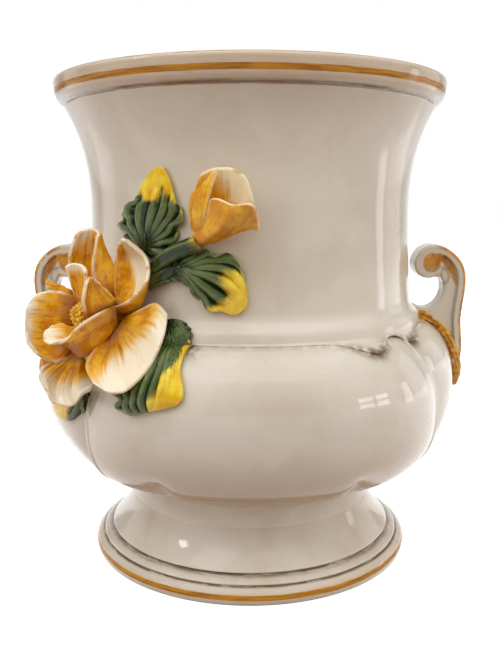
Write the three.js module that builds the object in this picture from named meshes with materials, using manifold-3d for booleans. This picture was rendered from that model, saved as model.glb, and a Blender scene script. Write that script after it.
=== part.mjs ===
// A glazed ceramic urn with two scrolled handles and an applied flower spray.
// Millimetres, +Z up. The origin is the centre of the foot's underside.
// Azimuth 0 is the front (-Y) and azimuth 90 is the right handle (+X).
import * as THREE from 'three';
import { mergeVertices } from 'three/addons/utils/BufferGeometryUtils.js';
import Module from 'manifold-3d';

const wasm = await Module();
wasm.setup();

// Neck and rim
const urnHeight = 300;
const rimRadius = 122.3;
const rimLipHeight = 11;
const rimLipDepth = 9;
const rimLipInset = 3.6;
const rimRound = 1.8;
const grooveRadius = 116.5;
const grooveDrop = 14.5;
const waistRadius = 101.7;
const waistHeight = 221;
const neckFlarePower = 2.5;
const neckWall = 7;
const collarRadius = 110.8;
const collarHeight = 163;
const collarBelt = 152;
const collarHem = 137.8;
const hemRoll = 5;
const neckFootRadius = 105;

// Belly
const bellyRadius = 135;
const bellyHeight = 114;
const shoulderRadius = 106;
const shoulderHeight = 153.2;
const creaseRadius = 127.3;
const creaseHeight = 102;
const creaseTopRadius = 103;
const creaseTopHeight = 147;
const lobeBottomHeight = 54;
const sideLobeBottomHeight = 58;
const creaseBottomHeight = 58.5;
const collarNotch = 7;
const collarNotchAngle = 5;
const lobeTurn = 8;
const wideLobe = 110;
const lobeSharpness = 3;
const lobeFullness = 2.2;
const sideLobeFullness = 1.9;
const creaseFullness = 2.6;
const creaseShoulderFullness = 1.5;
const bellyWall = 8;
const bellyFloorHeight = 60;
const bellyFloorThickness = 8;
const spigotWall = 4;
const spigotHeight = 8;

// Foot
const footRadius = 104.7;
const footTorusRadius = 105.4;
const footNeckRadius = 79.5;
const footWall = 9;
const footRingWidth = 11;
const footTopHeight = 60;
const footFlareTop = 54;
const footFlarePower = 3;
const footFlareStep = 2.9;
const lowerGrooveHeight = 9.9;
const lowerGrooveRadius = 100;
const beadRadius = 99.8;
const upperGrooveHeight = 13.6;
const upperGrooveRadius = 92.2;
const footBoreRadius = 66.5;
const locatingRingHeight = 6;
const locatingRingWidth = 6;

// Fits between pieces that are luted together
const clearance = 0.3;
const edgeBreak = 1;

// Handles
const handleReach = bellyRadius + 6.7;
const handlePlate = 17;
const handleBand = 21;
const handleBandWidth = 4.6;
const handleEyeRadius = 6.2;
const handleEyeRise = 1.6;
const handleLeafThickness = 6;
const handleLeafWidth = 17;

// Flower
const heartAzimuth = -42;
const heartHeight = 163;
const heartStandOff = 17.5;
const seatRadius = 11;
const stamenRadius = 8.5;
const stamenReach = 13;
const petalThickness = 2.2;
const leafThickness = 3.2;
const stemRadius = 4.2;
const budPetalThickness = 2;

// How finely the rings are divided
const wideLobeSteps = 12;
const narrowLobeSteps = 6;
const bellySteps = 6;
const petalAcross = 6;
const petalAlong = 5;
const leafAcross = 6;
const leafAlong = 8;

const narrowLobe = 180 - wideLobe;

// A point at an azimuth, a distance from the urn's axis and a height.
function polar(azimuth, radius, height) {
  const turn = THREE.MathUtils.degToRad(azimuth);
  return new THREE.Vector3(radius * Math.sin(turn), -radius * Math.cos(turn), height);
}

// A closed body from points and triangles: equal points are merged and empty triangles left out.
function body(points, triangles) {
  const raw = new THREE.BufferGeometry();
  raw.setAttribute('position', new THREE.Float32BufferAttribute(points.flatMap((p) => p.toArray()), 3));
  raw.setIndex(triangles.flat());
  const merged = mergeVertices(raw, 0.001);
  const index = [...merged.index.array];
  const kept = [];
  for (let i = 0; i < index.length; i += 3) {
    const [a, b, c] = index.slice(i, i + 3);
    if (a !== b && b !== c && a !== c) kept.push(a, b, c);
  }
  merged.setIndex(kept);
  return merged;
}

// A body as a solid for joining and cutting.
function solid(geometry) {
  const plain = geometry.clone();
  plain.deleteAttribute('normal');
  plain.deleteAttribute('uv');
  const merged = mergeVertices(plain, 0.0001);
  return new wasm.Manifold(new wasm.Mesh({
    numProp: 3,
    vertProperties: new Float32Array(merged.attributes.position.array),
    triVerts: new Uint32Array(merged.index.array),
  }));
}

// The largest connected shell of a solid, as a geometry: a cut may leave crumbs beside it.
function geometryOf(cut) {
  const mesh = cut.getMesh();
  const parent = Array.from({ length: mesh.vertProperties.length / 3 }, (_, i) => i);
  const root = (i) => {
    while (parent[i] !== i) i = parent[i];
    return i;
  };
  const faces = [];
  for (let i = 0; i < mesh.triVerts.length; i += 3) {
    const face = [...mesh.triVerts.slice(i, i + 3)];
    parent[root(face[1])] = root(face[0]);
    parent[root(face[2])] = root(face[0]);
    faces.push(face);
  }
  const corner = (i) => new THREE.Vector3().fromArray(mesh.vertProperties, i * 3);
  const volumes = new Map();
  for (const [a, b, c] of faces) {
    const share = corner(a).dot(corner(b).cross(corner(c)));
    volumes.set(root(a), (volumes.get(root(a)) ?? 0) + share);
  }
  const largest = [...volumes].sort((one, other) => other[1] - one[1])[0][0];
  const geometry = new THREE.BufferGeometry();
  geometry.setAttribute('position', new THREE.Float32BufferAttribute([...mesh.vertProperties], 3));
  geometry.setIndex(faces.filter(([a]) => root(a) === largest).flat());
  geometry.computeVertexNormals();
  return geometry;
}

// The azimuths of the rings: each crease of the belly lies on one of them.
function ringAzimuths() {
  const azimuths = [];
  let start = lobeTurn - wideLobe / 2;
  for (const [span, steps] of [
    [wideLobe, wideLobeSteps],
    [narrowLobe, narrowLobeSteps],
    [wideLobe, wideLobeSteps],
    [narrowLobe, narrowLobeSteps],
  ]) {
    for (let i = 0; i < steps; i++) azimuths.push(start + (span * i) / steps);
    start += span;
  }
  return azimuths;
}

// A body swept round the axis. Its section runs with the material on its left: either a closed
// loop, or a chain whose two ends lie on the axis.
function revolve(sectionAt, closedLoop) {
  const azimuths = ringAzimuths();
  const sections = azimuths.map(sectionAt);
  const count = sections[0].length;
  const points = sections.flatMap((section, i) => section.map(([r, z]) => polar(azimuths[i], r, z)));
  const triangles = [];
  const links = closedLoop ? count : count - 1;
  for (let i = 0; i < azimuths.length; i++) {
    const next = (i + 1) % azimuths.length;
    for (let j = 0; j < links; j++) {
      const above = (j + 1) % count;
      const [a, b] = [i * count + j, next * count + j];
      const [c, d] = [next * count + above, i * count + above];
      triangles.push([a, b, c], [a, c, d]);
    }
  }
  return body(points, triangles);
}

// A section's chain moved outwards by a distance, along the normals of its links.
function grow(chain, distance) {
  const normal = (from, to) => {
    const length = Math.hypot(to[0] - from[0], to[1] - from[1]) || 1;
    return [(to[1] - from[1]) / length, -(to[0] - from[0]) / length];
  };
  return chain.map((point, i) => {
    const before = normal(chain[Math.max(i - 1, 0)], chain[Math.max(i, 1)]);
    const after = normal(chain[Math.min(i, chain.length - 2)], chain[Math.min(i + 1, chain.length - 1)]);
    const sum = [before[0] + after[0], before[1] + after[1]];
    const scale = distance / Math.max(0.5, (sum[0] ** 2 + sum[1] ** 2) / 2);
    return [point[0] + sum[0] * scale, point[1] + sum[1] * scale];
  });
}

// How far an azimuth is from the middle of the nearest wide lobe, in degrees.
function fromWideLobe(azimuth) {
  const turned = THREE.MathUtils.euclideanModulo(azimuth - lobeTurn, 180);
  return Math.min(turned, 180 - turned);
}

// How far an azimuth is into its lobe: 1 in the middle of the lobe, 0 on a crease.
function lobeShare(azimuth) {
  const angle = fromWideLobe(azimuth);
  const offset = angle <= wideLobe / 2 ? angle / (wideLobe / 2) : (90 - angle) / (narrowLobe / 2);
  return 1 - Math.min(1, offset) ** lobeSharpness;
}

// A belly outline from its bottom edge over its widest ring to its top edge.
function bulge(bottom, widest, top, lowerPower, upperPower) {
  const chain = [];
  for (let i = 0; i <= bellySteps * 2; i++) {
    const lower = i < bellySteps;
    const [end, power] = lower ? [bottom, lowerPower] : [top, upperPower];
    const turn = ((Math.PI / 2) * (lower ? bellySteps - i : i - bellySteps)) / bellySteps;
    const out = Math.abs(Math.cos(turn)) ** (2 / power);
    const rise = Math.abs(Math.sin(turn)) ** (2 / power);
    chain.push([end[0] + (widest[0] - end[0]) * out, widest[1] + (end[1] - widest[1]) * rise]);
  }
  return chain;
}

// The belly's outer skin at an azimuth: swelling lobes with a sharp crease between them.
function bellySkin(azimuth) {
  const wide = fromWideLobe(azimuth) <= wideLobe / 2;
  const lobe = bulge(
    [footNeckRadius, wide ? lobeBottomHeight : sideLobeBottomHeight],
    [bellyRadius, bellyHeight],
    [shoulderRadius, shoulderHeight],
    wide ? lobeFullness : sideLobeFullness,
    2,
  );
  const crease = bulge(
    [footNeckRadius, creaseBottomHeight],
    [creaseRadius, creaseHeight],
    [creaseTopRadius, creaseTopHeight],
    creaseFullness,
    creaseShoulderFullness,
  );
  const share = lobeShare(azimuth);
  return lobe.map(([r, z], i) => [
    THREE.MathUtils.lerp(crease[i][0], r, share),
    THREE.MathUtils.lerp(crease[i][1], z, share),
  ]);
}

// The neck's outer radius at a height above the collar.
function neckRadius(height) {
  const grooveHeight = urnHeight - grooveDrop;
  if (height >= waistHeight) {
    const share = Math.min(1, (height - waistHeight) / (grooveHeight - waistHeight));
    return waistRadius + (grooveRadius - waistRadius) * share ** neckFlarePower;
  }
  const share = (waistHeight - height) / (waistHeight - collarHeight);
  return waistRadius + (neckFootRadius - waistRadius) * share ** 1.5;
}

// The radius of a chain at a height, or 0 above and below it.
function radiusOn(chain, height) {
  const after = chain.findIndex(([, z]) => z > height);
  if (after < 1) return 0;
  const [low, high] = [chain[after - 1], chain[after]];
  return THREE.MathUtils.lerp(low[0], high[0], (height - low[1]) / (high[1] - low[1]));
}

// The radius of the whole urn's skin at an azimuth and a height.
function skinRadius(azimuth, height) {
  return Math.max(radiusOn(neckOutside(azimuth), height), radiusOn(bellySkin(azimuth), height));
}

// A point at an azimuth and a height, lifted off the urn's skin.
function onSkin([azimuth, height, lift]) {
  return polar(azimuth, skinRadius(azimuth, height) + lift, height);
}

const spigotRadius = waistRadius - neckWall + spigotWall;
const spigotTop = shoulderHeight + spigotHeight;

// The belly's outside from the axis underneath, over the skin, to the top of its spigot.
function bellyOutside(azimuth) {
  const underside = bellyFloorHeight - bellyFloorThickness;
  const ring = footBoreRadius - clearance;
  return [
    [0, underside],
    [ring - locatingRingWidth, underside],
    [ring - locatingRingWidth, underside - locatingRingHeight],
    [ring, underside - locatingRingHeight],
    [ring, underside],
    [footNeckRadius - 4, underside],
    ...bellySkin(azimuth),
    [spigotRadius, shoulderHeight - 1.5],
    [spigotRadius, spigotTop - edgeBreak],
    [spigotRadius - edgeBreak, spigotTop],
  ];
}

// The belly filled to the axis, with a gap all round: it cuts whatever is luted to the belly.
function bellyCutter() {
  return solid(revolve((azimuth) => [
    ...grow(bellyOutside(azimuth), clearance),
    [0, spigotTop + clearance],
  ], false));
}

// The neck filled to the axis, with a gap all round, for what is luted to the neck.
function neckCutter() {
  return solid(revolve((azimuth) => [
    [0, collarHem],
    ...grow(neckOutside(azimuth), clearance),
    [0, urnHeight + clearance],
  ], false));
}

// How far the collar's hem is drawn up at an azimuth: it is notched over each crease.
function hemLift(azimuth) {
  const fromCrease = fromWideLobe(azimuth) - wideLobe / 2;
  return collarNotch * Math.exp(-((fromCrease / collarNotchAngle) ** 2));
}

// The neck's outside from the hem of the collar to the top of the rim.
function neckOutside(azimuth) {
  const hem = collarHem + hemLift(azimuth);
  const grooveHeight = urnHeight - grooveDrop;
  const lipFoot = urnHeight - rimLipHeight;
  const rising = [0.15, 0.55].map((share) => THREE.MathUtils.lerp(collarHeight, waistHeight, share));
  const flaring = [0, 0.4, 0.7, 0.88].map((share) =>
    THREE.MathUtils.lerp(waistHeight, grooveHeight, share));
  return [
    [collarRadius - hemRoll, hem],
    [collarRadius - hemRoll * 0.45, hem + hemRoll * 0.5],
    [collarRadius, hem + hemRoll * 1.2],
    [collarRadius, collarBelt + 2],
    [collarRadius - 1.6, THREE.MathUtils.lerp(collarBelt, collarHeight, 0.66)],
    [neckFootRadius + 1, collarHeight],
    ...[...rising, ...flaring].map((height) => [neckRadius(height), height]),
    [grooveRadius, grooveHeight],
    [rimRadius - rimLipInset, lipFoot],
    [rimRadius, lipFoot + rimLipHeight / 2],
    [rimRadius, urnHeight - rimRound],
    [rimRadius - rimRound, urnHeight],
  ];
}

function neckBell() {
  const bore = (height) => neckRadius(height) - neckWall;
  const heights = [0.9, 0.5].map((share) =>
    THREE.MathUtils.lerp(waistHeight, urnHeight - grooveDrop, share));
  const inside = (azimuth) => [
    [rimRadius - rimLipDepth + rimRound, urnHeight],
    [rimRadius - rimLipDepth, urnHeight - rimRound],
    ...[...heights, waistHeight, collarHeight].map((height) => [bore(height), height]),
    [waistRadius - neckWall, collarBelt],
    [waistRadius - neckWall, creaseTopHeight],
    [creaseTopRadius - 1, creaseTopHeight],
    [collarRadius - 8, collarHem + hemLift(azimuth)],
  ];
  const shell = revolve((azimuth) => [...neckOutside(azimuth), ...inside(azimuth)], true);
  return geometryOf(solid(shell).subtract(bellyCutter()));
}

function lobedBelly() {
  const boreRadius = spigotRadius - spigotWall;
  const inside = bulge(
    [0.55 * creaseRadius, bellyFloorHeight],
    [creaseRadius - bellyWall, creaseHeight + 4],
    [boreRadius, creaseTopHeight],
    2,
    2,
  ).reverse();
  return revolve((azimuth) => [
    ...bellyOutside(azimuth),
    [boreRadius + edgeBreak, spigotTop],
    [boreRadius, spigotTop - edgeBreak],
    ...inside.filter((_, i) => i % 2 === 0),
    [0, bellyFloorHeight],
  ], false);
}

// The foot's outer radius between the upper groove and its neck. It stands out a step over the groove.
function flareRadius(height) {
  const share = (footFlareTop - height) / (footFlareTop - upperGrooveHeight);
  return footNeckRadius + (upperGrooveRadius + footFlareStep - footNeckRadius) * share ** footFlarePower;
}

function foot() {
  const ringInside = footRadius - footRingWidth;
  const seat = bellyFloorHeight - bellyFloorThickness - locatingRingHeight;
  const outer = [0.06, 0.22, 0.4, 0.58, 0.79].map((share) =>
    THREE.MathUtils.lerp(upperGrooveHeight, footFlareTop, share));
  const loop = [
    [footRadius - edgeBreak, 0],
    [footRadius, edgeBreak],
    [footTorusRadius, lowerGrooveHeight * 0.4],
    [footTorusRadius - 2, lowerGrooveHeight * 0.78],
    [lowerGrooveRadius, lowerGrooveHeight],
    [beadRadius, lowerGrooveHeight + 1],
    [beadRadius - 3.4, upperGrooveHeight - 0.6],
    [upperGrooveRadius, upperGrooveHeight - 0.2],
    ...outer.map((height) => [flareRadius(height), height]),
    [footNeckRadius, footFlareTop],
    [footNeckRadius, footTopHeight],
    [footBoreRadius, footTopHeight],
    [footBoreRadius, seat],
    ...[outer[3], outer[1]].map((height) => [flareRadius(height) - footWall, height]),
    [ringInside - 2, 6],
    [ringInside, 0],
  ];
  return geometryOf(solid(revolve(() => loop, true)).subtract(bellyCutter()));
}

// A thin closed body round a surface given over u from -1 to 1 and v from 0 to 1, grown by a gap.
function sheet(surface, thickness, across, along, gap) {
  const step = 0.01;
  const edgeThinning = 0.4;
  const sides = [[], []];
  for (let j = 0; j <= along; j++) {
    for (let i = 0; i <= across; i++) {
      const [u, v] = [(2 * i) / across - 1, j / along];
      const overU = surface(u + step, v).sub(surface(u - step, v));
      const overV = surface(u, v + step).sub(surface(u, v - step));
      const normal = overU.clone().cross(overV).normalize();
      const rim = Math.max(Math.abs(u), v) ** 6;
      const half = (thickness / 2) * (1 - edgeThinning * rim) + gap;
      const endward = j === 0 ? -1 : Math.trunc(v);
      const point = surface(u, v)
        .addScaledVector(overU.normalize(), Math.trunc(u) * gap)
        .addScaledVector(overV.normalize(), endward * gap);
      sides[0].push(point.clone().addScaledVector(normal, half));
      sides[1].push(point.clone().addScaledVector(normal, -half));
    }
  }
  const row = across + 1;
  const back = sides[0].length;
  const triangles = [];
  for (let j = 0; j < along; j++) {
    for (let i = 0; i < across; i++) {
      const [a, b, c, d] = [j * row + i, j * row + i + 1, (j + 1) * row + i + 1, (j + 1) * row + i];
      triangles.push([a, b, c], [a, c, d]);
      triangles.push([back + a, back + c, back + b], [back + a, back + d, back + c]);
    }
  }
  const edge = [];
  for (let i = 0; i < across; i++) edge.push(i);
  for (let j = 0; j < along; j++) edge.push(j * row + across);
  for (let i = across; i > 0; i--) edge.push(along * row + i);
  for (let j = along; j > 0; j--) edge.push(j * row);
  edge.forEach((a, i) => {
    const b = edge[(i + 1) % edge.length];
    triangles.push([a, back + b, b], [a, back + a, back + b]);
  });
  return body([...sides[0], ...sides[1]], triangles);
}

// The value a share of the way along a list, eased from one entry to the next.
function easedAt(list, share) {
  const place = THREE.MathUtils.clamp(share, 0, 1) * (list.length - 1);
  const entry = Math.min(Math.floor(place), list.length - 2);
  const ease = THREE.MathUtils.smoothstep(place - entry, 0, 1);
  return THREE.MathUtils.lerp(list[entry], list[entry + 1], ease);
}

// A petal's surface through five points: its base, middle and tip, and its left and right edges.
// The width opens from the base and closes again towards a rounded tip, and ruffles run round the
// edge. A leaf gives its width as a list of shares at even steps from its base to its tip instead.
function petalSurface({ base, middle, tip, left, right, open = 0.45, close = 0.55, round = 0.22,
  ruffle = 0, spread }) {
  const [b, m, t] = [base, middle, tip].map((point) => new THREE.Vector3(...point));
  const [l, r] = [left, right].map((point) => new THREE.Vector3(...point));
  const half = r.clone().sub(l).multiplyScalar(0.5);
  const lift = r.clone().add(l).multiplyScalar(0.5).sub(m);
  const face = half.clone().cross(t.clone().sub(b)).normalize();
  return (u, v) => {
    const reach = v * (1 - round * u * u);
    const opening = open + (1 - open) * (1 - (1 - reach * 2) ** 2);
    const closing = 1 - (1 - close) * (reach * 2 - 1) ** 2;
    const width = spread ? easedAt(spread, reach) : reach < 0.5 ? opening : closing;
    const rim = 1 - (1 - u ** 4) * (1 - Math.max(0, v) ** 4);
    const wave = Math.sin(6 * Math.atan2(u, 1.2 - v));
    return new THREE.Vector3()
      .addScaledVector(b, (1 - reach) * (1 - 2 * reach))
      .addScaledVector(m, 4 * reach * (1 - reach))
      .addScaledVector(t, reach * (2 * reach - 1))
      .addScaledVector(half, width * u)
      .addScaledVector(lift, width * u * u)
      .addScaledVector(face, ruffle * wave * rim);
  };
}

// The places of the petals' points, in millimetres from the flower's heart.
const petals = {
  petal_right: {
    base: [8, 0, 4], middle: [14.5, 3, 24], tip: [13.5, -6, 45.5],
    left: [7, -1, 26], right: [28.5, -10, 28], open: 0.62, close: 0.4,
  },
  petal_top: {
    base: [5, 3, 4.5], middle: [4.5, 7, 28.5], tip: [-6.5, 3, 50.5],
    left: [-15.5, -5, 35], right: [-0.5, -15, 33.5], open: 0.5, close: 0.5,
  },
  petal_inner_right: {
    base: [6.5, -4, 3], middle: [1.5, -14, 14], tip: [-3, -18, 27],
    left: [-5, -22, 10], right: [6.5, -7, 17.5],
  },
  petal_inner_left: {
    base: [-4.5, -2, 7], middle: [-10.5, -7, 21.5], tip: [-14, -10, 32],
    left: [-15.5, -10, 25.5], right: [-4, -14, 26],
  },
  petal_left: {
    base: [-4.5, -4, -2.5], middle: [-24, -1, -3.5], tip: [-41.5, -3, -2],
    left: [-30, -9, -21.5], right: [-26.5, -4, 17], close: 0.7,
  },
  petal_lower_left: {
    base: [-1, -7, -11], middle: [-16, -7, -30], tip: [-21.5, -10, -46],
    left: [-33, -6, -29], right: [-5, -12, -34], close: 0.6, ruffle: 0.8,
  },
  petal_lower_right: {
    base: [6.5, -9, -1.5], middle: [17.5, -22, -12.5], tip: [22, -32, -30],
    left: [-6, -18, -22.5], right: [38.5, -15, 3], open: 0.5, close: 0.6, round: 0.35,
  },
  petal_cup: {
    base: [9.5, -7, 1.5], middle: [-5.5, -17, -13.5], tip: [-26, -21, -6],
    left: [-14.5, -7, -1.5], right: [1, -28, 3.5],
  },
  petal_far_left: {
    base: [-6.5, 3, 7.5], middle: [-23, 7, 16.5], tip: [-33, 9, 21],
    left: [-24.5, 15, 18.5], right: [-20.5, -1, 15.5],
  },
  petal_back: {
    base: [-1.5, 3, -7], middle: [-23, 6, -21.5], tip: [-39, 7, -28.5],
    left: [-26.5, 7, -12], right: [-21.5, 3, -33.5],
  },
};

// The leaves' points as azimuth, height and lift off the urn's skin.
const leaves = {
  leaf_upper: {
    base: [-33, 195, 2], middle: [-29.5, 219, 6.5], tip: [-27.6, 245.8, 1],
    left: [-44.8, 215.5, 1], right: [-20.7, 221.5, 1.5], spread: [0.35, 0.95, 1, 0.6, 0.12],
  },
  leaf_right: {
    base: [-31.8, 184, 1.5], middle: [-13.5, 190.5, 6], tip: [-2, 172, 1],
    left: [-8, 201, 1.5], right: [-18.5, 174, 1], spread: [0.2, 0.35, 1, 0.95, 0.45],
  },
  leaf_lower_right: {
    base: [-29, 160, 3], middle: [-22, 143, 6], tip: [-21.5, 119.5, 1.5],
    left: [-14.5, 145.5, 1.5], right: [-36, 134.5, 1.5], spread: [0.75, 1, 1, 1, 0.7],
  },
  leaf_lower_left: {
    base: [-47.4, 124, 4], middle: [-50.1, 113.2, 4], tip: [-54.9, 101.8, 1],
    left: [-61.2, 109.7, 1], right: [-47.3, 111.9, 1], spread: [0.5, 0.9, 1, 0.9, 0.4],
  },
};

// A leaf's surface: a petal's form laid on the urn's skin, with flutes that fan out from the base.
function leafSurface(shape) {
  const flat = petalSurface({ round: 0.1, ...shape });
  return (u, v) => {
    const notch = 1 - 0.14 * Math.abs(Math.sin(v * Math.PI * 3)) * Math.abs(u) ** 3;
    const point = flat(u * notch, v).toArray();
    point[2] += 0.9 * Math.cos(u * Math.PI * 4) * Math.min(1, v * 2);
    return onSkin(point);
  };
}

const heart = polar(heartAzimuth, neckFootRadius + heartStandOff, heartHeight);

// A body turned on a lathe round a line through two points.
function turned(profile, from, to, segments) {
  const outline = profile.map(([r, along]) => new THREE.Vector2(r, along));
  const geometry = new THREE.LatheGeometry(outline, segments);
  const axis = to.clone().sub(from).normalize();
  geometry.applyQuaternion(new THREE.Quaternion().setFromUnitVectors(new THREE.Vector3(0, 1, 0), axis));
  geometry.translate(...from.toArray());
  return solid(geometry);
}

// The pad behind the flower, from the urn's skin to the flower's heart.
function flowerSeat(gap) {
  const from = polar(heartAzimuth, neckRadius(heartHeight) - 2, heartHeight);
  const length = heart.distanceTo(from) + gap;
  return turned([
    [0, -gap],
    [seatRadius + gap, -gap],
    [seatRadius + gap, length * 0.5],
    [seatRadius * 0.75 + gap, length * 0.85],
    [0, length],
  ], from, heart, 14);
}

// The bumpy yellow heart of stamens, standing on the seat.
function stamenCluster(gap) {
  const centre = heart.clone().add(new THREE.Vector3(-11.3, -11, 6.3));
  return turned([
    [0, -1],
    [stamenRadius * 0.55 + gap, -1],
    [stamenRadius + gap, stamenReach * 0.6],
    [stamenRadius * 0.8 + gap, stamenReach * 0.9],
    [0, stamenReach + gap],
  ], heart, centre, 12);
}

// A tube along a curve, with flutes cut along it by its lobed section.
function tube(points, radius, steps) {
  const section = new THREE.Shape();
  const sides = 12;
  for (let i = 0; i < sides; i++) {
    const turn = (i / sides) * Math.PI * 2;
    const reach = radius * (i % 2 ? 1 : 0.88);
    section[i ? 'lineTo' : 'moveTo'](reach * Math.cos(turn), reach * Math.sin(turn));
  }
  section.closePath();
  const path = new THREE.CatmullRomCurve3(points);
  return solid(new THREE.ExtrudeGeometry(section, { steps, extrudePath: path }));
}

// The stalk's course as azimuth, height and lift.
const stemCourse = [[-38, 176, 5], [-32.2, 190.2, 4.5], [-22, 200.5, 6], [-14, 207, 7.5]];

// The bud's own axes: side to the right, along its length, and out from the neck.
const budBase = onSkin([-13.4, 207.5, 7.5]);
const budAlong = onSkin([-4.5, 240, 13]).sub(budBase).normalize();
const budOut = polar(-10, 1, 0).projectOnPlane(budAlong).normalize();
const budSide = budAlong.clone().cross(budOut);

function inBud([side, along, out]) {
  return budBase.clone()
    .addScaledVector(budSide, side)
    .addScaledVector(budAlong, along)
    .addScaledVector(budOut, out);
}

const budPetals = {
  bud_back: {
    base: [0, 3, -4], middle: [0, 22, -6], tip: [0, 42, -5],
    left: [-15.5, 25, 2], right: [16, 31, 1],
  },
  bud_wrap_left: {
    base: [-4, 2, 2], middle: [-14.5, 20, 1], tip: [-9, 39, 4],
    left: [-9, 22, -6], right: [-5, 20, 9],
  },
  bud_wrap_right: {
    base: [1.5, 2, 5], middle: [5, 14, 10], tip: [11, 27, 10],
    left: [-7, 17, 8], right: [21.5, 22, 3], open: 0.5,
  },
};

function budHeart(gap) {
  return turned([
    [0, -2 - gap],
    [5 + gap, -2 - gap],
    [6.2 + gap, 4],
    [5.5 + gap, 12],
    [0, 18 + gap],
  ], budBase, inBud([0, 1, 0]), 12);
}

// The handle's outline as distances in from its outermost point and heights, anticlockwise.
const handleOutline = [
  [6, 119.5], [2.4, 122], [0.8, 131], [1.6, 143], [2.2, 151], [1.5, 160], [0.4, 169], [0, 177.5], [1.4, 185],
  [4.6, 190.7], [10.3, 196], [16.5, 199.3], [22.5, 200.3], [28.3, 198.2], [32, 194], [34, 188.3],
  [33, 183.2], [30.2, 179.9], [25.5, 178.4], [20.5, 179.3], [17, 179.5], [14.6, 175.6], [14.2, 170.5],
  [15.6, 165.6], [19.2, 161], [24.4, 158.6], [29.4, 159.2], [34, 161], [33, 148], [20, 140], [12, 128],
  [9.5, 119.5],
];
const bandCorners = 21;

// The points of a course moved to its left by a distance.
function inset(course, distance) {
  return course.map((point, i) => {
    const before = course[Math.max(i - 1, 0)];
    const along = course[Math.min(i + 1, course.length - 1)].clone().sub(before).normalize();
    return point.clone().add(new THREE.Vector2(-along.y, along.x).multiplyScalar(distance));
  });
}

// A slab of a handle: an outline in the XZ plane, as thick as given and centred on it.
function slab(outline, thickness, bevel) {
  const geometry = new THREE.ExtrudeGeometry(new THREE.Shape(outline), {
    depth: thickness - 2 * bevel,
    bevelThickness: bevel,
    bevelSize: bevel,
    bevelOffset: -bevel,
    bevelSegments: 1,
  });
  geometry.rotateX(Math.PI / 2);
  geometry.translate(0, thickness / 2 - bevel, 0);
  return solid(geometry);
}

// One handle for the right side: a flat plate with a raised band along its outer edge.
function handle() {
  const outline = handleOutline.map(([inward, height]) => new THREE.Vector2(handleReach - inward, height));
  const outer = outline.slice(0, bandCorners);
  const band = [...outer, ...inset(outer, handleBandWidth).reverse()];
  const plate = [...inset(outer, 1), ...outline.slice(bandCorners)];
  const eyeCentre = new THREE.Vector3(handleReach - 23, 0, 188.6);
  const across = new THREE.Vector3(0, handlePlate / 2 + handleEyeRise, 0);
  const eye = turned([
    [0, 0],
    [handleEyeRadius - 1.6, 0],
    [handleEyeRadius, handleEyeRise],
    [handleEyeRadius, across.y * 2 - handleEyeRise],
    [handleEyeRadius - 1.6, across.y * 2],
    [0, across.y * 2],
  ], eyeCentre.clone().sub(across), eyeCentre, 10);
  const whole = slab(plate, handlePlate, 0.8).add(slab(band, handleBand, 1.2)).add(eye);
  return geometryOf(whole);
}

// The crumpled leaf under the right handle: it lies on the side lobe from the collar downwards.
function handleLeaf(gap) {
  const spine = new THREE.CatmullRomCurve3([
    [31.5, 156], [23, 151.5], [14.5, 146], [9, 138], [5.6, 129], [3.4, 118], [4.2, 106],
  ].map(([inward, height]) => new THREE.Vector3(handleReach - inward, 0, height)));
  const surface = (u, v) => {
    const reach = THREE.MathUtils.clamp(v, 0, 1);
    const point = spine.getPoint(reach);
    const along = spine.getTangent(reach);
    const out = new THREE.Vector3(-along.z, 0, along.x);
    const lobes = 1 + 0.16 * Math.cos(reach * Math.PI * 7);
    const half = handleLeafWidth * lobes * (0.62 + 0.38 * Math.sin(Math.PI * Math.min(1, reach * 1.4)))
      * (1 - 0.85 * reach ** 3);
    point.y = half * u;
    point.addScaledVector(along, (v - reach) * 40);
    const crumple = 1.1 * Math.cos(reach * Math.PI * 7) * Math.abs(u);
    return point.addScaledVector(out, crumple - 1.2 - 1.3 * u * u);
  };
  return sheet(surface, handleLeafThickness, leafAcross, leafAlong + 2, gap);
}

function mirrored(geometry) {
  const copy = geometry.clone().scale(-1, 1, 1);
  const index = [...copy.index.array];
  for (let i = 0; i < index.length; i += 3) [index[i], index[i + 1]] = [index[i + 1], index[i]];
  copy.setIndex(index);
  return copy;
}

const glaze = () => new THREE.MeshStandardMaterial({ color: 0xd8cfbf, roughness: 0.12, metalness: 0 });
const ochre = () => new THREE.MeshStandardMaterial({ color: 0xd9992b, roughness: 0.25, metalness: 0 });
const petalGlaze = () => new THREE.MeshStandardMaterial({ color: 0xe0a547, roughness: 0.22, metalness: 0 });
const leafGlaze = () => new THREE.MeshStandardMaterial({ color: 0x3e5230, roughness: 0.22, metalness: 0 });
const stamenGlaze = () => new THREE.MeshStandardMaterial({ color: 0xe0ab22, roughness: 0.4, metalness: 0 });

const urn = new THREE.Group();

function add(name, geometry, material) {
  const mesh = new THREE.Mesh(geometry, material);
  mesh.name = name;
  urn.add(mesh);
}

add('neck_bell', neckBell(), glaze());
add('lobed_belly', lobedBelly(), glaze());
add('foot', foot(), glaze());

const urnCutter = neckCutter().add(bellyCutter());
const sides = { right: (geometry) => geometry, left: mirrored };
for (const [side, turn] of Object.entries(sides)) {
  const cutter = urnCutter.add(solid(turn(handleLeaf(clearance))));
  add(`handle_${side}`, geometryOf(solid(turn(handle())).subtract(cutter)), glaze());
  add(`handle_leaf_${side}`, geometryOf(solid(turn(handleLeaf(0))).subtract(urnCutter)), ochre());
}

// Each later piece of the spray is cut clear of the urn and of the pieces before it.
let taken = urnCutter;

function addClear(name, piece, grown, material) {
  add(name, geometryOf(piece.subtract(taken)), material);
  taken = taken.add(grown);
}

function addSheet(name, surface, thickness, across, along, material) {
  const [piece, grown] = [0, clearance].map((gap) => solid(sheet(surface, thickness, across, along, gap)));
  addClear(name, piece, grown, material);
}

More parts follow.
